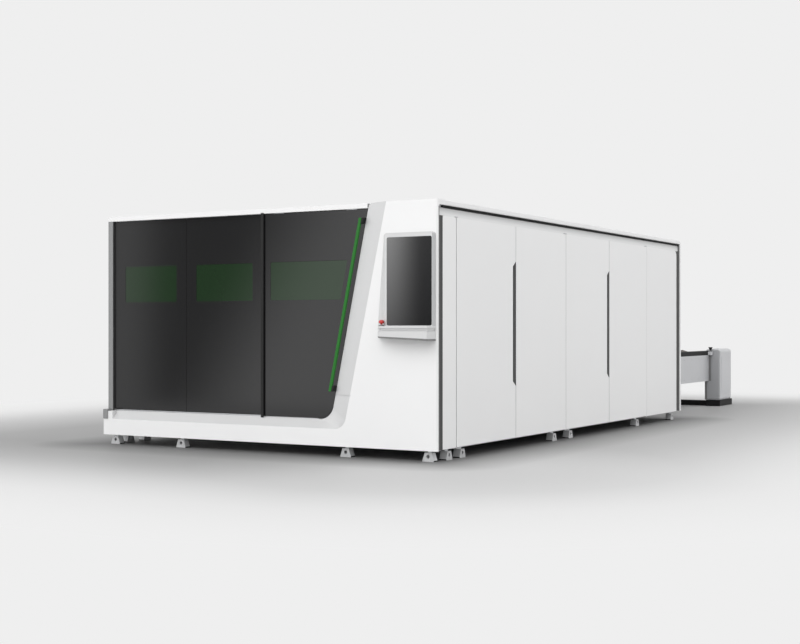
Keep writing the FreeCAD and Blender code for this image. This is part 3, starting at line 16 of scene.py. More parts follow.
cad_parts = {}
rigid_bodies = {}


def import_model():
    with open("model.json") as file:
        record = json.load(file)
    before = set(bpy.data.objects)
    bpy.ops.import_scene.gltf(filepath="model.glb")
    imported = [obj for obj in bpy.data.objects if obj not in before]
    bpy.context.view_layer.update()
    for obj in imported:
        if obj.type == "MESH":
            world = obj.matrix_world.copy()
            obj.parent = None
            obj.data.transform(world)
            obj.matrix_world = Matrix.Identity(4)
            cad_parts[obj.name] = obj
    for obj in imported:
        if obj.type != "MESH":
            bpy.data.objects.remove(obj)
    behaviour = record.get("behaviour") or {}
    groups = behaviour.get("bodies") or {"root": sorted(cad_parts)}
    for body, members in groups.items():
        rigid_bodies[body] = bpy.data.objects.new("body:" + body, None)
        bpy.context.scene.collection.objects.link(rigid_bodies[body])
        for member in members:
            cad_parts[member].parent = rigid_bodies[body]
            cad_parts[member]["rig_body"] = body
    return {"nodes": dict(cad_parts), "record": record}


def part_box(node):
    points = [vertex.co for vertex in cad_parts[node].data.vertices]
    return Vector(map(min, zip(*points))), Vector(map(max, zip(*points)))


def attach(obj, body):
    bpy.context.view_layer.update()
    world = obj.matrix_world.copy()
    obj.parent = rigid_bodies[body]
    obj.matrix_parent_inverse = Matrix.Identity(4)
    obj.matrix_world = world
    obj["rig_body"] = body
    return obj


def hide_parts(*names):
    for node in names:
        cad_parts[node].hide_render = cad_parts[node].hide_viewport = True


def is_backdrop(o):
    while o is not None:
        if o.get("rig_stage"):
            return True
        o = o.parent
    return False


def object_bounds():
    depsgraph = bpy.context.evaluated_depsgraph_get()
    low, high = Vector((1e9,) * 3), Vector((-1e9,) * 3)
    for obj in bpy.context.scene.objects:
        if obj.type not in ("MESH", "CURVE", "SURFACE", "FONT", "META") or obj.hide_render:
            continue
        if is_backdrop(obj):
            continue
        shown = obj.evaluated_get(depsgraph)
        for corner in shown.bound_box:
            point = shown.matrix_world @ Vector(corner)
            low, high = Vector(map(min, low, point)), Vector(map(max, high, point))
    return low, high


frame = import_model()
cad_low, cad_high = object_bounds()
scene = bpy.context.scene
print("nodes", len(frame["nodes"]), "size", [round(v, 3) for v in cad_high - cad_low])

# %% [markdown]
# ## Camera
# The picture was taken from the operator's side, to the right of the machine, at chest height. All
# the uprights are parallel in it, so the camera is level and only its shift lifts the view. A 60 mm
# lens from 12 m away gives the same calm perspective.

# %% Camera
camera_data = bpy.data.cameras.new("camera")
camera_data.lens = 60
camera_data.sensor_width = 36
camera_data.shift_y = 0.0075
camera_data.clip_end = 200
camera = bpy.data.objects.new("camera", camera_data)
camera.location = (7.342, -14.8725, 1.15)
camera.rotation_euler = (radians(90), 0, radians(30.27))
scene.collection.objects.link(camera)
scene.camera = camera
scene.view_settings.view_transform = "Standard"
print("camera", tuple(camera.location), "lens", camera_data.lens)

# %% [markdown]
# ## Node helpers
# Every material and the world are small node trees. One helper gives each new node its inputs, as
# numbers or as outputs of earlier nodes.

# %% Node helpers


def add_node(tree, kind, inputs=(), **settings):
    """A node with its properties set; each input takes a value or another node's output."""
    node = tree.nodes.new(kind)
    for key, value in settings.items():
        setattr(node, key, value)
    for key, value in dict(inputs).items():
        if isinstance(value, bpy.types.NodeSocket):
            tree.links.new(value, node.inputs[key])
        else:
            node.inputs[key].default_value = value
    return node


def calc(tree, operation, *inputs):
    """The output of one step of arithmetic."""
    return add_node(tree, "ShaderNodeMath", enumerate(inputs), operation=operation).outputs[0]


def own_place(tree):
    """A point's place on its own object."""
    return add_node(tree, "ShaderNodeTexCoord").outputs["Object"]


def own_axes(tree):
    """The X, Y and Z of that place."""
    return add_node(tree, "ShaderNodeSeparateXYZ", {0: own_place(tree)}).outputs


print("node helpers ready")

# %% [markdown]
# ## World
# A dim even world fills the shadows. Eyes, gloss and glass see the plain backdrop tone instead of
# that dim fill, so the Light Path node picks the backdrop for those three kinds of ray.

# %% World
BACKDROP = (0.863, 0.863, 0.863, 1)
FILL = 0.16

world = bpy.data.worlds.new("studio")
scene.world = world
world.use_nodes = True
tree = world.node_tree
tree.nodes.clear()
fill = add_node(tree, "ShaderNodeBackground", {"Color": (1, 1, 1, 1), "Strength": FILL})
backdrop = add_node(tree, "ShaderNodeBackground", {"Color": BACKDROP, "Strength": 1.0})
ray = add_node(tree, "ShaderNodeLightPath").outputs
seen = calc(tree, "MAXIMUM", ray["Is Camera Ray"], ray["Is Glossy Ray"])
seen = calc(tree, "MAXIMUM", seen, ray["Is Transmission Ray"])
choose = add_node(
    tree, "ShaderNodeMixShader", {0: seen, 1: fill.outputs[0], 2: backdrop.outputs[0]})
add_node(tree, "ShaderNodeOutputWorld", {"Surface": choose.outputs[0]})
print("world", world.name)

# %% [markdown]
# ## Lamps
# The studio has wide soft lamps. One above the front lights the white sill and column, one behind
# the right-hand doors throws the long soft shadow to the left, and weaker ones keep the other sides
# readable. Sun lamps with a wide angle stand for large diffusers.

# %% Lamps


def add_sun(name, strength, spread, tilt, turn):
    """A soft distant lamp, tilted from the zenith and turned about the vertical."""
    data = bpy.data.lights.new(name, "SUN")
    data.energy = strength
    data.angle = radians(spread)
    lamp = bpy.data.objects.new(name, data)
    lamp.rotation_euler = (radians(tilt), 0, radians(turn))
    scene.collection.objects.link(lamp)


add_sun("above_front", 1.46, 60, 55, -5)
add_sun("rear_right", 1.33, 50, 52, 135)
add_sun("front_right", 0.72, 60, 65, 45)
add_sun("front_left", 0.49, 60, 65, -50)
add_sun("left_wall", 0.49, 60, 60, 270)

# %% [markdown]
# ## Floor
# The floor is a pale sheet that keeps the machine's real shadow, and its colour adds a painted
# shadow: it is darker close to the machine and melts into the backdrop further out, so no horizon
# shows. Both follow the distance from a rectangle: a wide one for the painted long shadow, and the
# footprint itself for a painted dark strip along the machine's foot. A painted patch of light lies
# round the front corner. These painted tones are only for the eye: the light that the floor throws
# back at the machine comes from one even pale tone.

# %% Distance from a rectangle


def ramp(tree, value, start, end, low, high, kind="SMOOTHSTEP"):
    """A value carried from one span of numbers to another."""
    return add_node(
        tree, "ShaderNodeMapRange",
        {"Value": value, "From Min": start, "From Max": end, "To Min": low, "To Max": high},
        interpolation_type=kind).outputs["Result"]


def distance_from(tree, centre, half):
    """How far a point lies outside a rectangle."""
    away = own_place(tree)
    for operation, inputs in (("SUBTRACT", {1: centre}), ("ABSOLUTE", {}), ("SUBTRACT", {1: half}),
                              ("MAXIMUM", {1: (0, 0, 0)}), ("LENGTH", {})):
        step = add_node(tree, "ShaderNodeVectorMath", {0: away, **inputs}, operation=operation)
        away = step.outputs[0]
    return step.outputs["Value"]


print("distance helper ready")

# %% Floor tones with painted shadow
FLOOR_BOUNCE = 0.55
PAINTED_SHADOW_AREA = ((-0.9, 0, 0), (2.8, 5.0, 0))
FOOTPRINT = ((0, -1.7, 0), (1.9, 3.2, 0))
NEAR_CORNER = ((1.9, -4.9, 0), (0, 0, 0))

floor_material = bpy.data.materials.new("studio_floor")
floor_material.use_nodes = True
tree = floor_material.node_tree
# Painted shadow: the floor colour darkens towards the machine, more so along its foot, and a
# painted patch of light brightens it round the front corner.
away = distance_from(tree, *PAINTED_SHADOW_AREA)
painted_shadow = ramp(tree, away, 0, 3, 0.43, 0.86, "LINEAR")
painted_contact_shadow = ramp(tree, distance_from(tree, *FOOTPRINT), 0, 0.7, 0.36, 1.0, "LINEAR")
painted_light_pool = ramp(tree, distance_from(tree, *NEAR_CORNER), 0.4, 2.1, 1.15, 0.88, "LINEAR")
lit = calc(tree, "MULTIPLY", calc(tree, "MULTIPLY", painted_shadow, painted_contact_shadow), painted_light_pool)
looked_at = add_node(tree, "ShaderNodeLightPath").outputs["Is Camera Ray"]
shown = add_node(tree, "ShaderNodeMix", {0: looked_at, 2: FLOOR_BOUNCE, 3: lit}, data_type="FLOAT")
paint = tree.nodes["Principled BSDF"]
paint.inputs["Roughness"].default_value = 0.6
tree.links.new(shown.outputs[0], paint.inputs["Base Color"])
glow = add_node(tree, "ShaderNodeEmission", {"Color": BACKDROP})
blend = add_node(tree, "ShaderNodeMixShader", {
    0: ramp(tree, away, 1.2, 4.4, 0, 1), 1: paint.outputs[0], 2: glow.outputs[0]})
tree.links.new(blend.outputs[0], tree.nodes["Material Output"].inputs["Surface"])
print("floor tones", len(tree.nodes), "nodes")

# %% Floor sheet
FLOOR_SIZE = 90


def place(name, mesh, material, slot=None, body="enclosure"):
    """An object at the origin with its place in its mesh; with a slot, it rides a body."""
    data = bpy.data.meshes.new(name)
    mesh.to_mesh(data)
    mesh.free()
    piece = bpy.data.objects.new(name, data)
    scene.collection.objects.link(piece)
    data.materials.append(material)
    if slot:
        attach(piece, body)
    return piece


sheet = bmesh.new()
bmesh.ops.create_grid(sheet, x_segments=1, y_segments=1, size=FLOOR_SIZE / 2)
place("studio_floor", sheet, floor_material)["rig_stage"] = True
print("floor", FLOOR_SIZE, "m wide")

# %% [markdown]
# ## Gradient reflectors
# Dark lacquer and glass show mostly what they mirror. A photographer stands graded cards in front
# of such a surface, so that it fades from dark to light instead of looking flat. Two cards do that
# here: a wide one for the dark panels and a small one for the screen. Only gloss sees them, so they
# neither light the machine nor show in any picture of it.

# %% Reflector card
CONSOLE_REACH = 0.145
CARD_DISTANCE = 5.5
CARD_Y = cad_low.y + CONSOLE_REACH - CARD_DISTANCE
CARD_HEIGHT = 4.0
CARD_FADE = 0.9


def reflector(name, left, right, soft_left, soft_right, strength):
    """An upright card in front of the machine that fades into the backdrop at its edges."""
    material = bpy.data.materials.new(name)
    material.use_nodes = True
    tree = material.node_tree
    tree.nodes.clear()
    axes = own_axes(tree)
    within = calc(
        tree, "MINIMUM",
        ramp(tree, axes["X"], left, left + soft_left, 0, 1),
        ramp(tree, axes["X"], right - soft_right, right, 1, 0))
    top = ramp(tree, axes["Z"], CARD_HEIGHT - CARD_FADE, CARD_HEIGHT, 1, 0)
    within = calc(tree, "MINIMUM", within, top)
    excess = calc(tree, "SUBTRACT", strength(tree, axes), BACKDROP[0])
    faded = calc(tree, "MULTIPLY_ADD", excess, within, BACKDROP[0])
    shine = add_node(tree, "ShaderNodeEmission", {"Strength": faded})
    add_node(tree, "ShaderNodeOutputMaterial", {"Surface": shine.outputs[0]})
    card = bmesh.new()
    bmesh.ops.create_grid(card, x_segments=1, y_segments=1, size=0.5)
    bmesh.ops.scale(card, vec=(right - left, CARD_HEIGHT, 1), verts=card.verts)
    bmesh.ops.rotate(card, matrix=Matrix.Rotation(radians(90), 3, "X"), verts=card.verts)
    bmesh.ops.translate(
        card, vec=((left + right) / 2, CARD_Y, CARD_HEIGHT / 2), verts=card.verts)
    piece = place(name, card, material)
    for ray_kind in ("camera", "diffuse", "shadow", "transmission"):
        setattr(piece, f"visible_{ray_kind}", False)
    piece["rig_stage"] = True


print("card", CARD_HEIGHT, "m high")

# %% Card tones
PANEL_DARK = 0.18


def panel_glow(tree, axes):
    """Dark in the middle, brighter to both sides, with a slanted right-hand flank."""
    slant = calc(tree, "MULTIPLY_ADD", axes["Z"], -0.578, axes["X"])
    return calc(
        tree, "MAXIMUM",
        ramp(tree, axes["X"], -6.75, -5.8, 0.90, PANEL_DARK),
        ramp(tree, slant, -6.1, -3.9, PANEL_DARK, 1.42))


def screen_glow(tree, axes):
    """Bright at its upper left, dark at its lower right."""
    rise = calc(tree, "MAXIMUM", calc(tree, "MULTIPLY_ADD", axes["Z"], 1.65, -0.83), 0.9)
    return calc(tree, "MULTIPLY", rise, ramp(tree, axes["X"], -1.9, -1.25, 1.0, 0.08))


reflector("panel_reflector", -10.2, -2.05, 1.8, 0.01, panel_glow)
reflector("screen_reflector", -2.05, -0.1, 0.01, 1.0, screen_glow)
print("reflectors at", round(CARD_Y, 3))

# %% [markdown]
# ## Shared surface effects
# Powder coat, brushed metal and cast iron differ in tone and in fine relief. Small node groups make
# those effects once, and each material places them with its own values: one lets a colour drift
# slowly over a surface, one gives a fine grain that a Bump node turns into relief, and one blends a
# colour into another towards a lower edge.

# %% Tone drift group
FLOAT, COLOR, VECTOR = "NodeSocketFloat", "NodeSocketColor", "NodeSocketVector"


def new_group(name, inputs, outputs):
    """A shader node group with named sockets; gives its inputs and its exit node too."""
    group = bpy.data.node_groups.new(name, "ShaderNodeTree")
    for label, kind, value in inputs:
        socket = group.interface.new_socket(label, in_out="INPUT", socket_type=kind)
        socket.default_value = value
    for label, kind in outputs:
        group.interface.new_socket(label, in_out="OUTPUT", socket_type=kind)
    return group, group.nodes.new("NodeGroupInput").outputs, group.nodes.new("NodeGroupOutput")


drift, given, leave = new_group(
    "tone_drift",
    [("Light", COLOR, (1, 1, 1, 1)), ("Dark", COLOR, (0.9, 0.9, 0.9, 1)),
     ("Scale", FLOAT, 1.0), ("Spread", FLOAT, 0.1), ("Roughness", FLOAT, 0.4)],
    [("Color", COLOR), ("Roughness", FLOAT)])
cloud = add_node(drift, "ShaderNodeTexNoise", {
    "Vector": own_place(drift), "Scale": given["Scale"], "Detail": 3.0}).outputs["Fac"]
tint = add_node(
    drift, "ShaderNodeMix", {0: cloud, 6: given["Dark"], 7: given["Light"]}, data_type="RGBA")
rough = calc(
    drift, "MULTIPLY_ADD", calc(drift, "SUBTRACT", cloud, 0.5), given["Spread"], given["Roughness"])
drift.links.new(tint.outputs[2], leave.inputs["Color"])
drift.links.new(rough, leave.inputs["Roughness"])
print("group", drift.name)

# %% Fine relief group
relief, given, leave = new_group(
    "fine_relief",
    [("Scale", FLOAT, 400.0), ("Stretch", VECTOR, (1, 1, 1))], [("Height", FLOAT)])
stretched = add_node(
    relief, "ShaderNodeVectorMath", {0: own_place(relief), 1: given["Stretch"]},
    operation="MULTIPLY")
grain = add_node(relief, "ShaderNodeTexNoise", {
    "Vector": stretched.outputs[0], "Scale": given["Scale"], "Detail": 2.0})
relief.links.new(grain.outputs["Fac"], leave.inputs["Height"])
print("group", relief.name)

# %% Height fade group
fade, given, leave = new_group(
    "height_fade",
    [("Color", COLOR, (1, 1, 1, 1)), ("Low Color", COLOR, (0.1, 0.1, 0.1, 1)),
     ("Low", FLOAT, 0.0), ("High", FLOAT, 1.0)],
    [("Color", COLOR)])
rise = ramp(fade, own_axes(fade)["Z"], given["Low"], given["High"], 0, 1)
tint = add_node(
    fade, "ShaderNodeMix", {0: rise, 6: given["Low Color"], 7: given["Color"]}, data_type="RGBA")
fade.links.new(tint.outputs[2], leave.inputs["Color"])
print("group", fade.name)

# %% [markdown]
# ## Finishes
# Nearly everything on the machine is painted sheet steel, so one recipe serves most finishes: the
# drift group feeds colour and roughness, the relief group feeds a weak bump. Ground and drawn
# metals stretch the relief along one axis instead.

# %% Finish recipe


def finish(name, light, dark, roughness, spread=0.06, drift_scale=0.8, metallic=0.0,
           grain=450.0, stretch=(1, 1, 1), bump=0.02, coat=0.0, coat_roughness=0.1, specular=0.5):
    """A material whose tone drifts between two colours and whose surface has a fine relief."""
    material = bpy.data.materials.new(name)
    material.use_nodes = True
    tree = material.node_tree
    shader = tree.nodes["Principled BSDF"]
    for label, value in (("Metallic", metallic), ("Specular IOR Level", specular),
                         ("Coat Weight", coat), ("Coat Roughness", coat_roughness)):
        shader.inputs[label].default_value = value
    tone = add_node(
        tree, "ShaderNodeGroup",
        {"Light": (*light, 1), "Dark": (*dark, 1), "Scale": drift_scale, "Spread": spread,
         "Roughness": roughness}, node_tree=drift)
    surface = add_node(
        tree, "ShaderNodeGroup", {"Scale": grain, "Stretch": stretch}, node_tree=relief)
    lift = add_node(tree, "ShaderNodeBump", {
        "Strength": bump, "Distance": 0.001, "Height": surface.outputs["Height"]})
    for source, label in ((tone.outputs["Color"], "Base Color"),
                          (tone.outputs["Roughness"], "Roughness"),
                          (lift.outputs["Normal"], "Normal")):
        tree.links.new(source, shader.inputs[label])
    return material


def greys(light, dark, green=0.0, blue=0.0):
    """Two greys with the same trace of green and blue."""
    return [(value, value + green, value + blue) for value in (light, dark)]


def fade_down(material, low_color, low, high):
    """Blend a finish into another colour towards its lower edge."""
    tree = material.node_tree
    base = tree.nodes["Principled BSDF"].inputs["Base Color"]
    blend = add_node(
        tree, "ShaderNodeGroup",
        {"Color": base.links[0].from_socket, "Low Color": (*low_color, 1), "Low": low,
         "High": high}, node_tree=fade)
    tree.links.new(blend.outputs["Color"], base)


print("finish recipe ready")

# %% White and pale coats
PALE = (0.002, 0.005)
COOL = (0.005, 0.01)

white_coat = finish(
    "white_powder_coat", (0.86, 0.86, 0.86), (0.83, 0.832, 0.835), 0.40, bump=0.03)
# Painted shade: the roof is the same white sheet, painted darker because it faces the lamps above.
roof_painted_shade_coat = finish("roof_painted_shade_coat", *greys(0.70, 0.66, *PALE), 0.6, bump=0.05, specular=0.2)
pearl_coat = finish("pearl_powder_coat", *greys(0.66, 0.63, *PALE), 0.38, bump=0.03)
# Pale painted shade: a darker copy of the white for the slanted faces round the opening and the
# door edges in the seams.
pale_painted_shade = finish("pale_painted_shade_coat", *greys(0.645, 0.61, *PALE), 0.38, bump=0.03)
# This grey also serves as painted shade on the console's right side.
grey_coat_and_console_shade = finish("grey_powder_coat_and_console_shade", *greys(0.52, 0.47, *COOL), 0.42, bump=0.03)
# Painted shade: the recessed header under the roof channel is painted grey, darkest at its top and
# paler towards its lower edge.
header_painted_shade = finish("header_painted_shade_coat", *greys(0.50, 0.47, *PALE), 0.42, bump=0.03)
fade_down(header_painted_shade, (0.78, 0.782, 0.785), 2.122, 2.188)
table_coat = finish("table_enamel", *greys(0.58, 0.53, 0.005, 0.02), 0.45, bump=0.05)
cabinet_coat = finish(
    "cabinet_texture_coat", *greys(0.66, 0.61, 0.005), 0.5, bump=0.2, grain=300.0)
cast_iron = finish(
    "grey_casting", *greys(0.55, 0.40, *COOL), 0.45, metallic=0.3,
    drift_scale=12.0, bump=0.35, grain=160.0)
print("pale finishes", len(bpy.data.materials))

# %% Dark and coloured coats
jamb_coat = finish("jamb_grey_coat", *greys(0.27, 0.24, 0.003, 0.005), 0.45, bump=0.03)
# Dark painted shade for recesses, gaps and lower edges.
dark_painted_shade = finish("dark_painted_shade_coat", *greys(0.19, 0.16), 0.5, bump=0.03)
return_coat = finish("graphite_matte", *greys(0.045, 0.04, 0, 0.001), 0.5, bump=0.03)
graphite = finish(
    "graphite_lacquer", *greys(0.013, 0.011, 0, 0.0005), 0.12, spread=0.01, bump=0.0)
green_lacquer = finish(
    "green_lacquer", (0.012, 0.17, 0.014), (0.010, 0.14, 0.012), 0.42, bump=0.01, specular=0.3)
black_coat = finish("black_powder_coat", *greys(0.009, 0.006), 0.6, bump=0.05, specular=0.15)
bed_coat = finish(
    "bed_enamel", (0.30, 0.32, 0.335), (0.25, 0.265, 0.28), 0.5, bump=0.1, grain=250.0)
# This enamel also serves as painted shade on the front faces of the end posts.
frame_coat_and_post_shade = finish("frame_enamel_and_post_shade", *greys(0.36, 0.30, 0.005, 0.015), 0.5, bump=0.08)
print("painted finishes", len(bpy.data.materials))

# %% Metals
ground_steel = finish(
    "ground_steel", *greys(0.60, 0.50, 0.01, 0.02), 0.30, metallic=1.0, grain=60.0,
    stretch=(30, 0.6, 30), bump=0.12)
zinc_steel = finish(
    "zinc_plated_steel", (0.66, 0.67, 0.68), (0.52, 0.53, 0.55), 0.34, metallic=1.0,
    drift_scale=25.0, spread=0.15, grain=500.0, bump=0.05)
drawn_aluminium = finish(
    "drawn_aluminium", *greys(0.74, 0.66, 0.005, 0.02), 0.38, metallic=1.0, grain=50.0,
    stretch=(30, 30, 0.5), bump=0.08)
brass = finish(
    "turned_brass", (0.78, 0.57, 0.26), (0.68, 0.48, 0.20), 0.28, metallic=1.0,
    drift_scale=20.0, bump=0.05)
slat_steel = {}
for deck, foot in (("upper", 0.74), ("lower", 0.49)):
    slat_steel[deck] = finish(
        f"{deck}_slat_steel", (0.30, 0.27, 0.25), (0.10, 0.085, 0.075), 0.55, spread=0.3,
        drift_scale=9.0, metallic=0.85, bump=0.3, grain=120.0)
    fade_down(slat_steel[deck], (0.42, 0.42, 0.42), foot + 0.035, foot + 0.070)
print("with metals", len(bpy.data.materials))

# %% Rack teeth
rack_steel = finish("rack_steel", *greys(0.50, 0.40, *COOL), 0.35, metallic=1.0, bump=0.0)
tree = rack_steel.node_tree
teeth = add_node(
    tree, "ShaderNodeTexWave", {"Vector": own_place(tree), "Scale": 26.2},
    wave_type="BANDS", bands_direction="Y", wave_profile="TRI")
notch = add_node(tree, "ShaderNodeBump", {
    "Strength": 1.0, "Distance": 0.004, "Height": teeth.outputs["Fac"]})
tree.links.new(notch.outputs["Normal"], tree.nodes["Principled BSDF"].inputs["Normal"])
print("rack teeth in", rack_steel.name)

# %% Glass, rubber and plastic
green_glass = finish(
    "laser_safety_glass", (0.010, 0.032, 0.010), (0.008, 0.026, 0.008), 0.10, spread=0.01,
    bump=0.0)
screen_glass = finish(
    "screen_glass", *greys(0.012, 0.010, 0, 0.001), 0.10, spread=0.01, coat=1.0,
    coat_roughness=0.04, bump=0.0)
black_rubber = finish("black_rubber", *greys(0.018, 0.012), 0.75, bump=0.08, specular=0.25)
gasket_rubber = finish("grey_rubber", *greys(0.075, 0.06), 0.7, bump=0.08, specular=0.25)
black_plastic = finish("black_plastic", *greys(0.022, 0.016, 0, 0.001), 0.45, bump=0.1)
red_plastic = finish("red_plastic", (0.62, 0.025, 0.02), (0.52, 0.018, 0.015), 0.35, coat=0.3)
print("materials", len(bpy.data.materials))

# %% [markdown]
# ## Softened sheet metal
# Real folded panels have rounded edges that catch a thin highlight. A CAD node comes in as loose
# triangles, so each panel is copied, its corners are welded and its flat triangles are dissolved
# into whole faces. A Bevel modifier then rounds every crease, and the copy stands for the node.

# %% Softening
WELD = 1e-5
CREASE = radians(25)
slot_of = {row["node"]: row["material_slot"] for row in frame["record"]["subparts"]}
softened = {}


def round_edges(piece, width, segments=2):
    """Round every crease of a piece and shade it smoothly."""
    for face in piece.data.polygons:
        face.use_smooth = True
    bevel = piece.modifiers.new("rounded_edges", "BEVEL")
    bevel.width = width
    bevel.segments = segments
    bevel.limit_method = "ANGLE"
    bevel.angle_limit = CREASE
    bevel.miter_outer = "MITER_ARC"
    level = piece.modifiers.new("flat_face_normals", "WEIGHTED_NORMAL")
    level.weight = 100
    level.keep_sharp = False


def soften(node, material, width, segments=2, cuts=()):
    """Replace a CAD node by its welded copy with rounded edges, divided along some planes."""
    mesh = bmesh.new()
    mesh.from_mesh(frame["nodes"][node].data)
    bmesh.ops.remove_doubles(mesh, verts=mesh.verts, dist=WELD)
    bmesh.ops.dissolve_limit(
        mesh, angle_limit=radians(0.5), use_dissolve_boundaries=False,
        verts=mesh.verts, edges=mesh.edges)
    for at, across in cuts:
        everything = list(mesh.verts) + list(mesh.edges) + list(mesh.faces)
        bmesh.ops.bisect_plane(mesh, geom=everything, plane_co=at, plane_no=across)
    body = frame["nodes"][node]["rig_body"]
    piece = place(f"{node}_panel", mesh, material, slot_of[node], body)
    round_edges(piece, width, segments)
    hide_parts(node)
    softened[node] = piece


print("softening ready for", len(slot_of), "nodes")

# %% Soften the shell and the console
ROOF_BAND = ((0, 0, 2.196), (0, 0, 1))
PANELS = {
    white_coat: {
        "side_hoops": 0.008, "fixed_side_panels": 0.005, "left_side_panels": 0.005,
        "side_door_1": 0.004, "side_door_3": 0.004, "rear_wall": 0.003, "upper_door_rail": 0.001},
    graphite: {"front_panel_left": 0.0015, "front_panel_middle": 0.0015, "sliding_door": 0.002},
    black_rubber: {"door_edge_seal": 0.0015, "door_handle_brackets": 0.002},
    green_lacquer: {"door_handle_bar": 0.003},
    green_glass: {"fixed_windows": 0.0008, "door_window": 0.0008},
    jamb_coat: {"left_jamb": 0.0015, "rail_end_block": 0.003},
    roof_painted_shade_coat: {"roof_panels": 0.004},
    pearl_coat: {"console_housing": 0.004, "keyboard_shelf": 0.003},
    screen_glass: {"touch_screen": 0.0006},
    header_painted_shade: {"side_headers": 0.003},
}


def soften_all(groups):
    """Soften the nodes of each material to their own widths."""
    for material, widths in groups.items():
        for node, width in widths.items():
            soften(node, material, width)


soften("front_frame", white_coat, 0.006, cuts=[ROOF_BAND])
soften_all(PANELS)
print("softened panels", len(softened))

# %% Soften the machine and the table
INSIDE = {
    cabinet_coat: {"electric_cabinet": 0.002, "cutting_head": 0.001},
    bed_coat: {"bed_cross_members": 0.004, "gantry_saddles": 0.003},
    drawn_aluminium: {"gantry_beam": 0.003, "z_slide": 0.002},
    black_coat: {"gantry_motors": 0.002, "table_top_rails": 0.002, "table_plinths": 0.004},
    grey_coat_and_console_shade: {"carriage": 0.002, "table_cross_beams": 0.003},
    cast_iron: {"levelling_feet": 0.0015},
    table_coat: {"table_side_beams": 0.001, "pallet_stops": 0.003},
}
soften_all(INSIDE)
soften("end_posts", table_coat, 0.036, segments=6)
print("with the machine and the table", len(softened))

# %% Soften the drawer and the slotted doors
DRAWER_AT, DRAWER_SLOPE, DRAWER_LINE = 1.295, 0.0415, 1.081
SLOT_FOOT, SLOT_TOP = 0.6, 1.78
soften("keyboard_drawer", pearl_coat, 0.002,
       cuts=[((DRAWER_AT, 0, DRAWER_LINE), (DRAWER_SLOPE, 0, 1))])
for node in ("side_door_2", "side_door_4"):
    soften(node, white_coat, 0.004, cuts=[((0, 0, z), (0, 0, 1)) for z in (SLOT_FOOT, SLOT_TOP)])
print("softened in all", len(softened))

# %% [markdown]
# ## Second coats
# Some parts carry two finishes on one piece of sheet. Most second coats are painted shade: the
# slanted faces round the opening and the door edges in the seams take a darker white; the column's
# side return, the rear hoop faces, the pull slots and the drawer's lower edge take dark grey; the
# console's right side and the end posts' front faces take a darker grey. Rubber pads, seals and a
# few dark bands and returns are the parts' own colours. A mesh can hold several materials, so the
# faces are picked by where they lie and which way they look.

# %% Recoat the front and the table


def recoat(node, material, chosen):
    """Give the faces of a softened node that a test picks a second finish."""
    data = softened[node].data
    data.materials.append(material)
    picked = [face for face in data.polygons if chosen(face.center, face.normal)]
    for face in picked:
        face.material_index = len(data.materials) - 1
    print(node, "has", len(picked), "faces in", material.name)


# Painted shade on the slanted faces round the opening.
recoat("front_frame", pale_painted_shade, lambda at, out: -0.95 < out.y < -0.2 and out.x < 0.05)
# Painted shade on the column's side return.
recoat("front_frame", dark_painted_shade, lambda at, out: out.x > 0.9 and at.x > 1.885 and at.z < 2.15)
recoat("front_panel_left", return_coat, lambda at, out: out.x > 0.9 and at.x < -1.82)
recoat("front_frame", black_coat, lambda at, out: (
    abs(out.z) > 0.6 and 0.535 < at.z < 0.565 and at.x < 1.0))
for node in ("front_panel_left", "front_panel_middle"):
    recoat(node, black_rubber, lambda at, out: abs(out.x) > 0.9 and -1.0 < at.x < -0.8)
# Painted shade on the rear hoop faces beside the gap.
recoat("side_hoops", dark_painted_shade, lambda at, out: (
    out.y < -0.9 and at.y > 1.4 and abs(at.x) > 1.84))
# Painted shade along the drawer's lower edge.
recoat("keyboard_drawer", dark_painted_shade, lambda at, out: (
    at.z + DRAWER_SLOPE * (at.x - DRAWER_AT) < DRAWER_LINE))
recoat("levelling_feet", black_rubber, lambda at, out: at.z < 0.011)
# Painted shade on the end posts' front faces.
recoat("end_posts", frame_coat_and_post_shade, lambda at, out: out.y < -0.9)
# Painted shade on the console's right side.
recoat("console_housing", grey_coat_and_console_shade, lambda at, out: out.x > 0.9 and at.x > 1.8)
recoat("pallet_stops", black_coat, lambda at, out: at.z > 0.81)
for node in ("door_handle_bar", "left_jamb", "front_panel_left"):
    softened[node].visible_glossy = False

# %% Recoat the side doors
PULL_SEAMS = (-3.37, -0.96)


def in_pull(at, out):
    """Whether a door's face lies in its pull slot, beside a seam."""
    turned_in = abs(out.z) > 0.3 or abs(out.y) > 0.5 or (at.x > 1.858 and out.x > 0.5)
    beside = min(abs(at.y - seam) for seam in PULL_SEAMS) < 0.06
    return at.x < 1.888 and 0.58 < at.z < 1.80 and turned_in and beside


for node in [f"side_door_{number}" for number in range(1, 5)] + [
        "fixed_side_panels", "left_side_panels"]:
    # Painted shade on the door and panel edges in the seams.
    recoat(node, pale_painted_shade, lambda at, out: abs(out.y) > 0.9)
# Painted shade in the pull slots.
for node in ("side_door_1", "side_door_3"):
    recoat(node, dark_painted_shade, in_pull)
for node in ("side_door_2", "side_door_4"):
    recoat(node, dark_painted_shade, lambda at, out: out.y < -0.9 and SLOT_FOOT < at.z < SLOT_TOP)

# %% [markdown]
# ## Shape helpers
# Trims, flanges and fasteners are all made from a few moves: a box between two corners, a rod
# between two points, a face pushed in within a margin, and a lathe that spins a profile. What lies
# on a sheet bites half a millimetre into it.

# %% Boxes and rods
UP, FRONT, BACK, RIGHT = (0, 0, 1), (0, -1, 0), (0, 1, 0), (1, 0, 0)
BITE = 0.0005


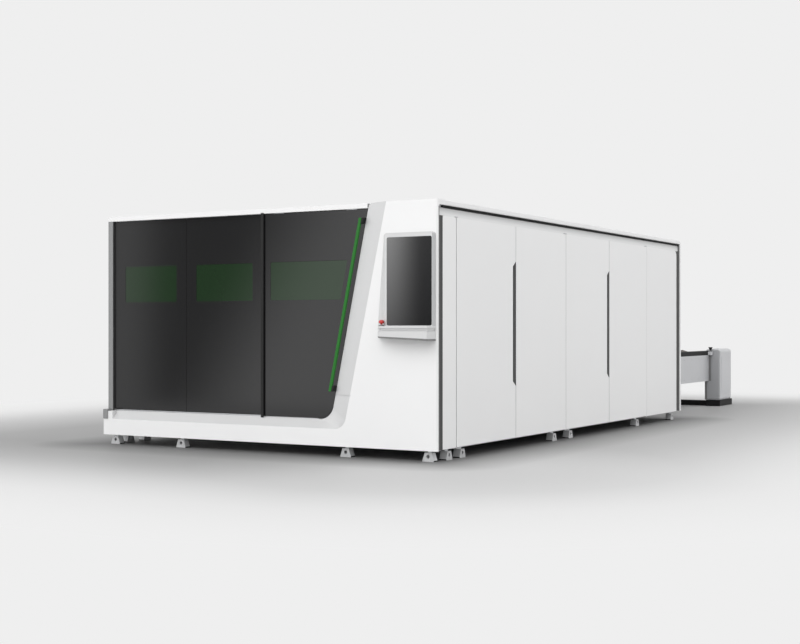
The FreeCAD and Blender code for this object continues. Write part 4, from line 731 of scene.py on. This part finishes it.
def block(mesh, corner, opposite):
    """A box between two opposite corners; gives its faces back."""
    low = Vector([*map(min, corner, opposite)])
    size = Vector([*map(max, corner, opposite)]) - low
    made = bmesh.ops.create_cube(mesh, size=1)["verts"]
    bmesh.ops.scale(mesh, vec=size, verts=made)
    bmesh.ops.translate(mesh, vec=low + size / 2, verts=made)
    mesh.normal_update()
    return list({face for vert in made for face in vert.link_faces})


def sink(mesh, faces, direction, margin, depth):
    """Push the middle of each face that looks one way inwards, within a margin."""
    for face in [f for f in faces if f.normal.dot(Vector(direction)) > 0.9]:
        bmesh.ops.inset_individual(mesh, faces=[face], thickness=margin, use_even_offset=True)
        bmesh.ops.translate(mesh, vec=-depth * face.normal, verts=face.verts)


def pressed(mesh, corner, opposite, direction, margin, depth):
    """A box with one side pushed in."""
    sink(mesh, block(mesh, corner, opposite), direction, margin, depth)


def rod(mesh, start, end, radius, sides=16, end_radius=None):
    """A round or many-sided bar between two points."""
    start, end = Vector(start), Vector(end)
    made = bmesh.ops.create_cone(
        mesh, cap_ends=True, segments=sides, radius1=radius,
        radius2=end_radius or radius, depth=(end - start).length)["verts"]
    turn = (end - start).to_track_quat("Z", "Y").to_matrix()
    bmesh.ops.rotate(mesh, matrix=turn, verts=made)
    bmesh.ops.translate(mesh, vec=(start + end) / 2, verts=made)


print("boxes and rods ready")

# %% Lathe


def lathe(mesh, profile, centre, steps=24, axis=UP):
    """Spin a profile of (radius, height) points about an axis through a centre."""
    part = bmesh.new()
    line = [part.verts.new((radius, 0, height)) for radius, height in profile]
    edges = [part.edges.new(pair) for pair in zip(line, line[1:])]
    bmesh.ops.spin(
        part, geom=line + edges, cent=(0, 0, 0), axis=UP, angle=tau, steps=steps,
        use_merge=True)
    bmesh.ops.remove_doubles(part, verts=part.verts, dist=WELD)
    bmesh.ops.recalc_face_normals(part, faces=part.faces)
    turn = Vector(axis).to_track_quat("Z", "Y").to_matrix()
    bmesh.ops.rotate(part, matrix=turn, verts=part.verts)
    bmesh.ops.translate(part, vec=centre, verts=part.verts)
    data = bpy.data.meshes.new("turned")
    part.to_mesh(data)
    part.free()
    mesh.from_mesh(data)
    bpy.data.meshes.remove(data)


print("lathe ready")

# %% Screws and spacing
WASHER = 0.0012


def screws(mesh, xs, ys, zs, out, radius=0.008, height=0.6):
    """Washers with six-sided heads, at every crossing of a grid on a surface."""
    out = Vector(out)
    for at in product(xs, ys, zs):
        seat = Vector(at) + WASHER * out
        rod(mesh, Vector(at) - BITE * out, seat, 1.4 * radius)
        rod(mesh, seat, seat + height * radius * out, radius, 6, 0.93 * radius)


def spread(start, end, count):
    """Evenly spaced numbers from start to end."""
    return [start + (end - start) * i / (count - 1) for i in range(count)]


def trim(name, mesh, material, slot, width=0.001, body="enclosure"):
    """Place a piece and round its edges."""
    round_edges(place(name, mesh, material, slot, body), width)


print("screws ready")

# %% [markdown]
# ## Seals and shadow gaps
# The white shell is made of separate sheets with joints between them. A grooved rubber profile sits
# behind the front column. A black channel under the roof hoops and a grey strip behind the last
# side
# panels are painted shade: dark sheets set into the gaps where shade falls. They are long
# extrusions, so each is a box whose outer face is pushed in.

# %% Seals and shadow gaps
SIDES = (1, -1)
PANEL_FOOT, PANEL_TOP = 0.104, 2.116

gasket = bmesh.new()
pressed(gasket, (1.852, -4.8715, PANEL_FOOT), (1.892, -4.8065, PANEL_TOP), RIGHT, 0.014, 0.004)
trim("corner_gasket", gasket, gasket_rubber, "black_plastic", 0.002)

channel, gap = bmesh.new(), bmesh.new()
for side in SIDES:
    pressed(channel, (side * 1.850, -4.7675, 2.1905), (side * 1.873, 1.4775, 2.2095),
            (side, 0, 0), 0.004, 0.006)
    pressed(gap, (side * 1.8505, 1.3735, PANEL_FOOT), (side * 1.862, 1.4765, PANEL_TOP),
            (side, 0, 0), 0.015, 0.004)
# Painted shade: a black strip under the roof hoops and a grey strip behind the last side panels.
trim("roof_painted_shadow_strip", channel, black_rubber, "black_plastic")
trim("rear_gap_painted_shade", gap, dark_painted_shade, "black_plastic")
print("seals on", len(SIDES), "sides")

# %% [markdown]
# ## Screen bezel and keyboard
# The screen lies under a thin black frame, and the drawer below holds a low black keyboard. A key
# cap is one small box repeated on a grid, with its top pushed in a little; it carries no letter. A
# brush strip closes the gap over the drawer.

# %% Screen bezel
PROUD = 0.0002

low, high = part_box("touch_screen")
bezel = bmesh.new()
faces = block(bezel, (low.x - PROUD, low.y + PROUD, low.z - PROUD),
              (high.x + PROUD, high.y, high.z + PROUD))
rim = [e for e in bezel.edges if abs((e.verts[0].co - e.verts[1].co).y) > 0.001]
bmesh.ops.bevel(
    bezel, geom=rim, offset=0.017, segments=6, affect="EDGES", profile=0.5, material=-1)
front_face = [f for f in bezel.faces if f.normal.y < -0.9]
bmesh.ops.inset_region(bezel, faces=front_face, thickness=0.009, use_even_offset=True)
bmesh.ops.delete(bezel, geom=front_face, context="FACES")
bezel_frame = place("screen_bezel", bezel, black_rubber, "screen_glass")
print("bezel faces", len(bezel_frame.data.polygons))

# %% Keyboard in the drawer
KEY_ROWS, KEY_COLUMNS = 5, 15
KEY_GAP, KEY_FOOT, KEY_TOP = 0.003, 1.1055, 1.112
BAR = range(5, 9)
pitch = Vector((0.358 / KEY_COLUMNS, 0.120 / KEY_ROWS, 0))
first_key = Vector((1.450, -4.935, KEY_FOOT))

keyboard = bmesh.new()
pressed(keyboard, (1.440, -4.945, 1.0975), (1.818, -4.805, 1.108), UP, 0.008, 0.002)
spots = [(row, column, column + 1) for row in range(KEY_ROWS) for column in range(KEY_COLUMNS)
         if row or column not in BAR] + [(0, BAR.start, BAR.stop)]
for row, column, end in spots:
    at = first_key + Vector((column * pitch.x, row * pitch.y, 0))
    size = Vector(((end - column) * pitch.x - KEY_GAP, pitch.y - KEY_GAP, KEY_TOP - KEY_FOOT))
    pressed(keyboard, at, at + size, UP, 0.003, 0.0008)
place("keyboard", keyboard, black_plastic, "black_plastic", "drawer")
print("keys", len(spots))

# %% Brush over the drawer
BRUSH_FOOT, BRUSH_TOP = 1.1255, 1.1458

brush = bmesh.new()
block(brush, (1.396, -5.0300, BRUSH_FOOT), (1.868, -5.0180, BRUSH_TOP))
block(brush, (1.858, -5.0182, BRUSH_FOOT), (1.868, -4.9080, BRUSH_TOP))
trim("drawer_brush", brush, pearl_coat, "white_paint", 0.002)
print("brush", round((BRUSH_TOP - BRUSH_FOOT) * 1000, 1), "mm high")

# %% [markdown]
# ## Stop button
# The emergency stop is a turned red mushroom on a short stem. Its profile is drawn as a handful of
# radius and height pairs and spun round, and it replaces the faceted CAD button.

# %% Stop button
low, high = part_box("estop_button")
button_at = ((low.x + high.x) / 2, (low.y + high.y) / 2, 0)

button = bmesh.new()
lathe(button, [
    (0, 1.1525), (0.0088, 1.1525), (0.0088, 1.190), (0.0150, 1.190), (0.0220, 1.1925),
    (0.0238, 1.197), (0.0238, 1.205), (0.0228, 1.2105), (0.0195, 1.2150), (0.0135, 1.2185),
    (0.006, 1.2198), (0, 1.2199)], button_at, steps=32)
mushroom = place("stop_mushroom", button, red_plastic, "red_plastic", "stop_button")
for face in mushroom.data.polygons:
    face.use_smooth = True
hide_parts("estop_button")

base = bmesh.new()
lathe(base, [
    (0.0165, 1.1672), (0.0255, 1.1672), (0.0258, 1.1705), (0.0225, 1.1735), (0.0165, 1.1738),
    (0.0165, 1.1672)], button_at, steps=32)
place("stop_base_ring", base, black_plastic, "black_plastic")
print("button height", round(high.z - low.z, 3))

# %% [markdown]
# ## Feet
# Each foot is a cast bracket under a threaded stud. A lock nut and a washer hold the stud against
# the frame.

# %% Lock nuts on the feet
FRONT_FEET = [(x, -4.8225) for x in (1.775, 0.935, -0.945, -1.775)]
SIDE_FEET = [(side * 1.820, y) for side in SIDES
             for y in (-4.6175, -4.3675, -2.3475, -1.9275, 0.0625, 1.3025)]
NUT_FOOT, NUT_SEAT, NUT_TOP = 0.0786, 0.0806, 0.0925

nuts = bmesh.new()
for x, y in FRONT_FEET + SIDE_FEET:
    rod(nuts, (x, y, NUT_FOOT), (x, y, NUT_SEAT), 0.0225, 20)
    rod(nuts, (x, y, NUT_SEAT), (x, y, NUT_TOP), 0.0185, 6)
place("foot_nuts", nuts, zinc_steel, "foot_iron")
print("feet", len(FRONT_FEET + SIDE_FEET))

# %% [markdown]
# ## Side doors
# The four swing doors are folded steel trays. Inside each one two upright ribs and three cross ribs
# keep the sheet flat, and they show when a door stands open.

# %% Ribs inside the side doors
DOORS = {"side_door_a": (-4.5435, -3.3415), "side_door_b": (-3.3335, -2.1365),
         "side_door_c": (-2.1285, -0.9275), "side_door_d": (-0.9195, 0.2825)}
RIB_BACK = 1.8535

for body, (start, end) in DOORS.items():
    ribs = bmesh.new()
    for y in (start + 0.16, end - 0.20):
        pressed(ribs, (1.8375, y, 0.18), (RIB_BACK, y + 0.04, 2.04), (-1, 0, 0), 0.008, 0.005)
    for z in (0.45, 1.10, 1.75):
        pressed(ribs, (1.8405, start + 0.20, z), (RIB_BACK, end - 0.20, z + 0.035),
                (-1, 0, 0), 0.008, 0.005)
    trim(f"{body}_ribs", ribs, white_coat, "white_paint", body=body)
print("ribbed doors", len(DOORS))

# %% [markdown]
# ## Roof and rear wall
# The roof sheets are screwed down along their edges, and two shallow pressed fields stiffen each.
# The rear wall has a framed gate for the pallets, a round extraction spigot with a grille behind
# its ring, and rows of screws.

# %% Roof fields and screws
ROOF = 2.2500
ROOF_PANELS = [(-4.7675, -2.6898), (-2.6838, -0.6062), (-0.6002, 1.4775)]

fields, roof_screws = bmesh.new(), bmesh.new()
for start, end in ROOF_PANELS:
    for side in (-1, 1):
        pressed(fields, (side * 0.06, start + 0.14, ROOF - BITE),
                (side * 1.70, end - 0.14, ROOF + 0.0020), UP, 0.02, 0.0018)
    screws(roof_screws, (-1.79, 1.79), spread(start + 0.06, end - 0.06, 5), (ROOF,), UP, 0.006, 0.4)
    screws(roof_screws, spread(-1.3, 1.3, 5), (start + 0.05, end - 0.05), (ROOF,), UP, 0.006, 0.4)
trim("roof_fields", fields, roof_painted_shade_coat, "white_paint", 0.0008)
place("roof_screws", roof_screws, zinc_steel, "steel")
print("roof panels", len(ROOF_PANELS))

# %% Rear wall fittings
WALL = 1.5175
GATE = 1.235
GATE_FRAME = 0.06

gate = bmesh.new()
end = GATE + GATE_FRAME
for corner, opposite in (
    ((-end, WALL - BITE, 0.395), (-GATE, WALL + 0.008, 0.930)),
    ((GATE, WALL - BITE, 0.395), (end, WALL + 0.008, 0.930)),
    ((-end, WALL - BITE, 0.880), (end, WALL + 0.0078, 0.9305)),
):
    pressed(gate, corner, opposite, BACK, 0.012, 0.003)
trim("gate_trim", gate, grey_coat_and_console_shade, "grey_paint")

pressings = bmesh.new()
for left, right in ((-1.72, -0.93), (-0.85, -0.04), (0.04, 0.85), (0.93, 1.72)):
    pressed(pressings, (left, WALL - BITE, 1.05), (right, WALL + 0.003, 2.16), BACK, 0.025, 0.0025)
trim("rear_pressings", pressings, white_coat, "white_paint")

rear_screws = bmesh.new()
screws(rear_screws, (-1.76, -0.89, 0.0, 0.89, 1.76), (WALL,), spread(1.00, 2.20, 6), BACK, 0.006)
middle = GATE + GATE_FRAME / 2
screws(rear_screws, (middle, -middle), (WALL + 0.005,), spread(0.43, 0.85, 4), BACK, 0.006)
place("rear_screws", rear_screws, zinc_steel, "steel")
print("gate", 2 * GATE, "m wide")

# %% Extraction spigot
SPIGOT = Vector((1.32, WALL, 1.85))
FLANGE_SCREWS = 8

spigot = bmesh.new()
lathe(spigot, [
    (0.118, 0.002), (0.165, 0.002), (0.165, 0.006), (0.125, 0.006), (0.125, 0.0135),
    (0.118, 0.0145), (0.118, 0.002)], SPIGOT, steps=48, axis=BACK)
for index in range(FLANGE_SCREWS):
    reach = Matrix.Rotation(tau * (index + 0.5) / FLANGE_SCREWS, 3, "Y") @ Vector((0.145, 0, 0))
    at = SPIGOT + reach
    screws(spigot, (at.x,), (at.y + 0.006,), (at.z,), BACK, 0.006)
place("extraction_spigot", spigot, zinc_steel, "steel")

grille = bmesh.new()
rod(grille, SPIGOT + Vector((0, 0.0025, 0)), SPIGOT + Vector((0, 0.0045, 0)), 0.1185, 48)
for z in spread(-0.10, 0.10, 11):
    half = (0.116 ** 2 - z ** 2) ** 0.5
    rod(grille, SPIGOT + Vector((-half, 0.008, z)), SPIGOT + Vector((half, 0.008, z)), 0.003, 8)
place("extraction_grille", grille, black_coat, "black_paint")
print("spigot at", tuple(SPIGOT))

# %% Cable glands
GLANDS = (1.45, 1.55, 1.65)

glands = bmesh.new()
for x in GLANDS:
    lathe(glands, [
        (0.010, 0.0005), (0.026, 0.0005), (0.026, 0.005), (0.021, 0.006), (0.021, 0.012),
        (0.016, 0.0145), (0.010, 0.0145), (0.010, 0.0005)], (x, WALL, 0.62), steps=20, axis=BACK)
place("cable_glands", glands, black_plastic, "black_plastic")
print("glands", len(GLANDS))

# %% [markdown]
# ## Exchange table
# The long side beams end against two posts. Steel angles join them there, painted dark grey as
# painted shade where beam meets post; bolts run along the beams, and the posts carry thin covers.

# %% Beam angles and post covers
angles, bolts, covers = bmesh.new(), bmesh.new(), bmesh.new()
for side in SIDES:
    block(angles, (side * 1.3655, 4.3965, 0.371), (side * 1.4000, 4.4028, 0.749))
    block(angles, (side * 1.3055, 4.3980, 0.092), (side * 1.3395, 4.4028, 0.369))
    screws(bolts, (side * 1.365,), spread(1.65, 4.25, 9), (0.42, 0.70), (side, 0, 0), 0.0065)
    pressed(covers, (side * 1.345, 4.450, 0.8395), (side * 1.495, 4.925, 0.8430), UP, 0.012, 0.0015)
    pressed(covers, (side * 1.5345, 4.47, 0.20), (side * 1.5385, 4.90, 0.72),
            (side, 0, 0), 0.010, 0.0015)
# Steel angles painted dark grey as painted shade where beam meets post.
trim("beam_end_angles_painted_shade", angles, dark_painted_shade, "black_paint")
place("table_bolts", bolts, zinc_steel, "steel")
trim("post_covers", covers, table_coat, "grey_paint", 0.0012)
print("table fittings on", len(SIDES), "sides")

# %% [markdown]
# ## Gantry
# The bridge carries an energy chain in a tray on its back, and its aluminium profile ends in
# screwed plates. The chain is one small link repeated along a line: a box with two faces pushed in.
# Servo motors have a flange, cooling ribs and a round plug.

# %% Chain and end plates
LINKS = 50
LINK_PITCH = 0.045
END_FACE = 1.4345

chain = bmesh.new()
for index in range(LINKS):
    x = -1.10 + index * LINK_PITCH
    faces = block(chain, (x, 0.525, 1.296), (x + 0.040, 0.600, 1.330))
    sink(chain, faces, UP, 0.006, 0.004)
    sink(chain, faces, FRONT, 0.006, 0.003)
place("bridge_chain", chain, black_plastic, "black_plastic", "gantry")

tray = bmesh.new()
faces = block(tray, (-1.20, 0.512, 1.2898), (1.20, 0.618, 1.2975))
block(tray, (-1.20, 0.6150, 1.2898), (1.20, 0.6182, 1.3250))
sink(tray, faces, UP, 0.004, 0.002)
trim("bridge_tray", tray, zinc_steel, "steel", body="gantry")

ends, bridge_screws = bmesh.new(), bmesh.new()
for side in SIDES:
    out = (side, 0, 0)
    pressed(ends, (side * 1.4295, 0.445, 1.012), (side * END_FACE, 0.660, 1.235),
            out, 0.018, 0.0015)
    screws(bridge_screws, (side * END_FACE,), (0.456, 0.552, 0.649), (1.022, 1.225), out, 0.006)
trim("bridge_end_plates", ends, black_coat, "black_paint", body="gantry")
print("chain links", LINKS)

# %% Motor fittings
MOTOR = Vector((1.3627, 0.7575, 0))
RIB = 0.0435
FLANGE_HOLE = 0.041

ribs, plugs = bmesh.new(), bmesh.new()
for side in SIDES:
    x, y = side * MOTOR.x, MOTOR.y
    for z in spread(0.990, 1.085, 9):
        block(ribs, (x - RIB, y - RIB, z), (x + RIB, y + RIB, z + 0.005))
    pressed(ribs, (x - 0.030, y - 0.030, 1.127), (x + 0.030, y + 0.030, 1.140), UP, 0.006, 0.002)
    screws(bridge_screws, (x - FLANGE_HOLE, x + FLANGE_HOLE), (y - FLANGE_HOLE, y + FLANGE_HOLE),
           (0.978,), UP, 0.0055)
    lathe(plugs, [(0, 0), (0.013, 0), (0.013, 0.012), (0.010, 0.014), (0.010, 0.030), (0, 0.030)],
          (x, y + 0.042, 1.10), steps=16, axis=BACK)
trim("motor_ribs", ribs, black_coat, "black_paint", 0.0008, "gantry")
place("motor_plugs", plugs, zinc_steel, "steel", "gantry")
place("bridge_screws", bridge_screws, zinc_steel, "steel", "gantry")
print("motors", len(SIDES))

# %% [markdown]
# ## Carriage and cutting head
# The carriage cover is screwed on and has a vent. The head below it is a stack of turned parts,
# which come off the lathe helper: collimator, lens housings with drawers, sensor ring and a brass
# nozzle.

# %% Carriage cover
vent = bmesh.new()
pressed(vent, (-0.032, 0.3290, 1.345), (0.032, 0.3325, 1.455), FRONT, 0.006, 0.001)
for z in spread(1.365, 1.435, 6):
    block(vent, (-0.024, 0.3275, z - 0.003), (0.024, 0.3295, z + 0.003))
trim("carriage_vent", vent, black_coat, "black_paint", 0.0006, "cross_carriage")

arm = bmesh.new()
faces = block(arm, (-0.034, 0.336, 1.4695), (0.034, 0.598, 1.4750))
block(arm, (-0.034, 0.5940, 1.336), (0.034, 0.5990, 1.4750))
sink(arm, faces, UP, 0.010, 0.001)
trim("chain_arm", arm, zinc_steel, "steel", body="cross_carriage")

cover_screws = bmesh.new()
screws(cover_screws, (-0.020, 0.020), (0.350, 0.380), (1.4745,), UP, 0.005)
for side in SIDES:
    screws(cover_screws, (side * 0.115,), (0.3942,), (1.020, 1.145, 1.270), FRONT, 0.006)
    screws(cover_screws, (side * 0.070,), (0.345, 0.382), (1.050, 1.290), (side, 0, 0), 0.005)
place("carriage_screws", cover_screws, zinc_steel, "steel", "cross_carriage")

# %% Head rings and nozzle
head_low, head_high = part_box("cutting_head")
head_axis = ((head_low.x + head_high.x) / 2, (head_low.y + head_high.y) / 2, 0)
EDGE = 0.001

rings = bmesh.new()
for z, radius, height in (
        (1.1180, 0.0300, 0.012), (1.0860, 0.0285, 0.006), (1.0700, 0.0330, 0.006),
        (1.3400, 0.0300, 0.010), (1.3500, 0.0200, 0.040), (1.3900, 0.0240, 0.012)):
    lathe(rings, [
        (0, z), (radius - EDGE, z), (radius, z + EDGE), (radius, z + height - EDGE),
        (radius - EDGE, z + height), (0, z + height)], head_axis, steps=32)
place("head_rings", rings, drawn_aluminium, "beam_aluminium", "z_axis")

nozzle = bmesh.new()
lathe(nozzle, [
    (0.0022, 1.0101), (0.0036, 1.0101), (0.0048, 1.0160), (0.0145, 1.0340), (0.0160, 1.0345),
    (0.0160, 1.0400), (0.0022, 1.0400), (0.0022, 1.0101)], head_axis)
place("copper_nozzle", nozzle, brass, "steel", "z_axis")
print("head", round(head_high.z - head_low.z, 3))

# %% Lens drawers and gas pipe
PIPE_X, PIPE_Y, PIPE_FOOT = 0.036, 0.252, 1.080

drawers = bmesh.new()
for z in (1.165, 1.235):
    pressed(drawers, (-0.030, head_low.y - 0.004, z), (0.030, head_low.y + 0.001, z + 0.026),
            FRONT, 0.004, 0.001)
    for x in (-0.018, 0.018):
        rod(drawers, (x, head_low.y - 0.003, z + 0.013), (x, head_low.y - 0.014, z + 0.013), 0.006)
trim("lens_drawers", drawers, black_coat, "black_paint", 0.0008, "z_axis")

gas = bmesh.new()
for end in ((PIPE_X, PIPE_Y, 1.330), (0.020, 0.262, 1.062)):
    rod(gas, (PIPE_X, PIPE_Y, PIPE_FOOT), end, 0.004, 12)
for z in (1.150, 1.320):
    rod(gas, (PIPE_X, PIPE_Y, z), (PIPE_X, PIPE_Y, z + 0.012), 0.0068, 6)
place("gas_pipe", gas, zinc_steel, "steel", "z_axis")
print("gas pipe from", PIPE_FOOT)

# %% [markdown]
# ## Cabinets
# Behind the side doors stand the electric cabinet and the laser source. The cabinet has hinges, a
# swing handle, louvres and signal lamps; the source has two fans behind round guards, and two
# upright handles. They are small, but they are what is seen when the doors are open.

# %% Handles, hinges and louvres
FACE = 1.780

hardware = bmesh.new()
for z in (0.42, 1.06, 1.70):
    rod(hardware, (FACE + 0.004, -4.470, z - 0.03), (FACE + 0.004, -4.470, z + 0.03), 0.007, 12)
pressed(hardware, (FACE - BITE, -3.560, 0.980), (FACE + 0.006, -3.525, 1.150), RIGHT, 0.005, 0.002)
pressed(hardware, (FACE + 0.005, -3.552, 1.000), (FACE + 0.014, -3.533, 1.100), RIGHT, 0.003, 0.001)
for y in (-1.90, -1.22):
    for z in (1.02, 1.16):
        rod(hardware, (FACE - 0.001, y, z), (FACE + 0.024, y, z), 0.006, 12)
    rod(hardware, (FACE + 0.024, y, 1.008), (FACE + 0.024, y, 1.172), 0.006, 12)
place("cabinet_hardware", hardware, zinc_steel, "steel")

vents = bmesh.new()
for base in (0.30, 1.62):
    pressed(vents, (FACE - BITE, -4.20, base), (FACE + 0.004, -3.95, base + 0.20),
            RIGHT, 0.010, 0.002)
    for z in spread(base + 0.025, base + 0.175, 8):
        block(vents, (FACE + 0.0015, -4.185, z - 0.006), (FACE + 0.0045, -3.965, z + 0.004))
trim("cabinet_vents", vents, cabinet_coat, "cabinet_paint", 0.0008)
print("cabinet face at", FACE)

# %% Fan guards
FANS = (-1.74, -1.38)
WIRE = 0.0035

guards = bmesh.new()
for y in FANS:
    for radius in (0.030, 0.052, 0.074, 0.096):
        lathe(guards, [(radius - WIRE, 0.001), (radius, 0.001), (radius, 0.005),
                       (radius - WIRE, 0.005), (radius - WIRE, 0.001)],
              (FACE, y, 0.92), steps=32, axis=RIGHT)
    for turn in (45, 135):
        reach = Matrix.Rotation(radians(turn), 3, "X") @ Vector((0, 0.104, 0))
        centre = Vector((FACE + 0.0055, y, 0.92))
        rod(guards, centre + reach, centre - reach, 0.0028, 8)
place("fan_guards", guards, black_coat, "black_paint")
print("fans", len(FANS))

# %% Signal lamps
LAMPS = [(-3.72, (0.55, 0.03, 0.02), (0.45, 0.02, 0.015)),
         (-3.67, (0.75, 0.42, 0.03), (0.62, 0.33, 0.02)),
         (-3.62, (0.03, 0.35, 0.05), (0.02, 0.28, 0.04))]

for index, (y, light, dark) in enumerate(LAMPS):
    lamp = bmesh.new()
    lathe(lamp, [(0.015, 0.0), (0.0155, 0.003), (0.012, 0.004), (0.0115, 0.008), (0.008, 0.011),
                 (0, 0.012)], (FACE, y, 1.80), axis=RIGHT)
    plastic = finish(f"lamp_plastic_{index}", light, dark, 0.25, coat=0.6)
    place(f"signal_lamp_{index}", lamp, plastic, "red_plastic")
print("signal lamps", len(LAMPS))

# %% [markdown]
# ## Pallets and table drive
# Each pallet runs on flanged wheels with a pressed hub cap. A geared motor between the posts moves
# both pallets; it has a ribbed body, a fan cowl and a terminal box.

# %% Wheel hubs
WHEELS, WHEEL_PITCH = 4, 0.95

for body, first_y, z in (("upper_pallet", 1.7525, 0.7003), ("lower_pallet", -3.1475, 0.4503)):
    hubs = bmesh.new()
    for index, side in product(range(WHEELS), SIDES):
        lathe(hubs, [(0, 0.003), (0.007, 0.003), (0.009, 0.001), (0.016, 0.001), (0.018, -0.001)],
              (side * 1.095, first_y + index * WHEEL_PITCH, z), steps=16, axis=(side, 0, 0))
    place(f"{body}_hubs", hubs, zinc_steel, "steel", body)
    print(body, "hubs", WHEELS * len(SIDES))

# %% Table drive motor
DRIVE = Vector((-1.305, 4.700, 0.260))
COOLING_RIBS = 16

drive = bmesh.new()
lathe(drive, [
    (0, 0), (0.070, 0), (0.070, 0.012), (0.058, 0.014), (0.058, 0.045), (0.052, 0.048),
    (0.052, 0.150), (0.055, 0.152), (0.055, 0.190), (0.048, 0.197), (0, 0.198)],
    DRIVE, steps=40, axis=RIGHT)
for index in range(COOLING_RIBS):
    rib = DRIVE + Matrix.Rotation(tau * index / COOLING_RIBS, 3, "X") @ Vector((0, 0, 0.054))
    rod(drive, rib + Vector((0.052, 0, 0)), rib + Vector((0.148, 0, 0)), 0.003, 6)
pressed(drive, DRIVE + Vector((0.060, -0.035, 0.050)), DRIVE + Vector((0.120, 0.035, 0.085)),
        UP, 0.006, 0.002)
place("table_drive", drive, bed_coat, "bed_paint")
print("drive at", tuple(DRIVE))

# %% [markdown]
# ## Work lights
# Six flat lamp bars hang under the roof beams, so that the operator sees the sheet through the
# windows. Each is an aluminium channel with a frosted cover. The cover glows only a little, so it
# reads as lit without lighting the room.

# %% Lamp bars under the roof
LAMP_XS, LAMP_YS = (-0.9, 0.9), (-3.6, -1.6, 0.4)

frosted = finish("frosted_cover", *greys(0.82, 0.78, 0.01, 0.02), 0.5, bump=0.05)
shader = frosted.node_tree.nodes["Principled BSDF"]
shader.inputs["Emission Color"].default_value = (1, 1, 1, 1)
shader.inputs["Emission Strength"].default_value = 0.9
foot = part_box("roof_beams")[0].z
housings, lenses = bmesh.new(), bmesh.new()
for x, y in product(LAMP_XS, LAMP_YS):
    pressed(housings, (x - 0.035, y - 0.60, foot - 0.028), (x + 0.035, y + 0.60, foot + BITE),
            (0, 0, -1), 0.004, 0.012)
    block(lenses, (x - 0.029, y - 0.594, foot - 0.027), (x + 0.029, y + 0.594, foot - 0.014))
trim("lamp_housings", housings, drawn_aluminium, "beam_aluminium")
trim("lamp_covers", lenses, frosted, "white_paint", 0.004)
print("lamp bars", len(LAMP_XS) * len(LAMP_YS), "under", round(foot, 3))

# %% [markdown]
# ## Plain CAD nodes
# Square tubes, rails, slats and the slotted source housing inside the machine already have the
# right shape. They keep their CAD mesh and only take a finish.

# %% Finish the remaining nodes
PLAIN = {
    frame_coat_and_post_shade: ("roof_beams", "frame_rails", "frame_posts", "pallet_guides", "equipment_shelf"),
    ground_steel: ("pivot_tabs", "gantry_rails", "scrap_trays", "lower_door_rail", "door_hangers",
                   "cross_rails"),
    rack_steel: ("gantry_racks",),
    cabinet_coat: ("laser_source",),
    bed_coat: ("bed_beams", "upper_pallet_frame", "lower_pallet_frame"),
    slat_steel["upper"]: ("upper_pallet_slats",),
    slat_steel["lower"]: ("lower_pallet_slats",),
}
finished = {"estop_button", *softened}
for material, nodes in PLAIN.items():
    for node in nodes:
        data = frame["nodes"][node].data
        data.materials.clear()
        data.materials.append(material)
        finished.add(node)
print("finished", len(finished), "left over", sorted(set(frame["nodes"]) - finished))

# %% Measure and finish
low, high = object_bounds()
print("grown by", [round(v * 1000, 2) for v in (*(cad_low - low), *(high - cad_high))], "mm")
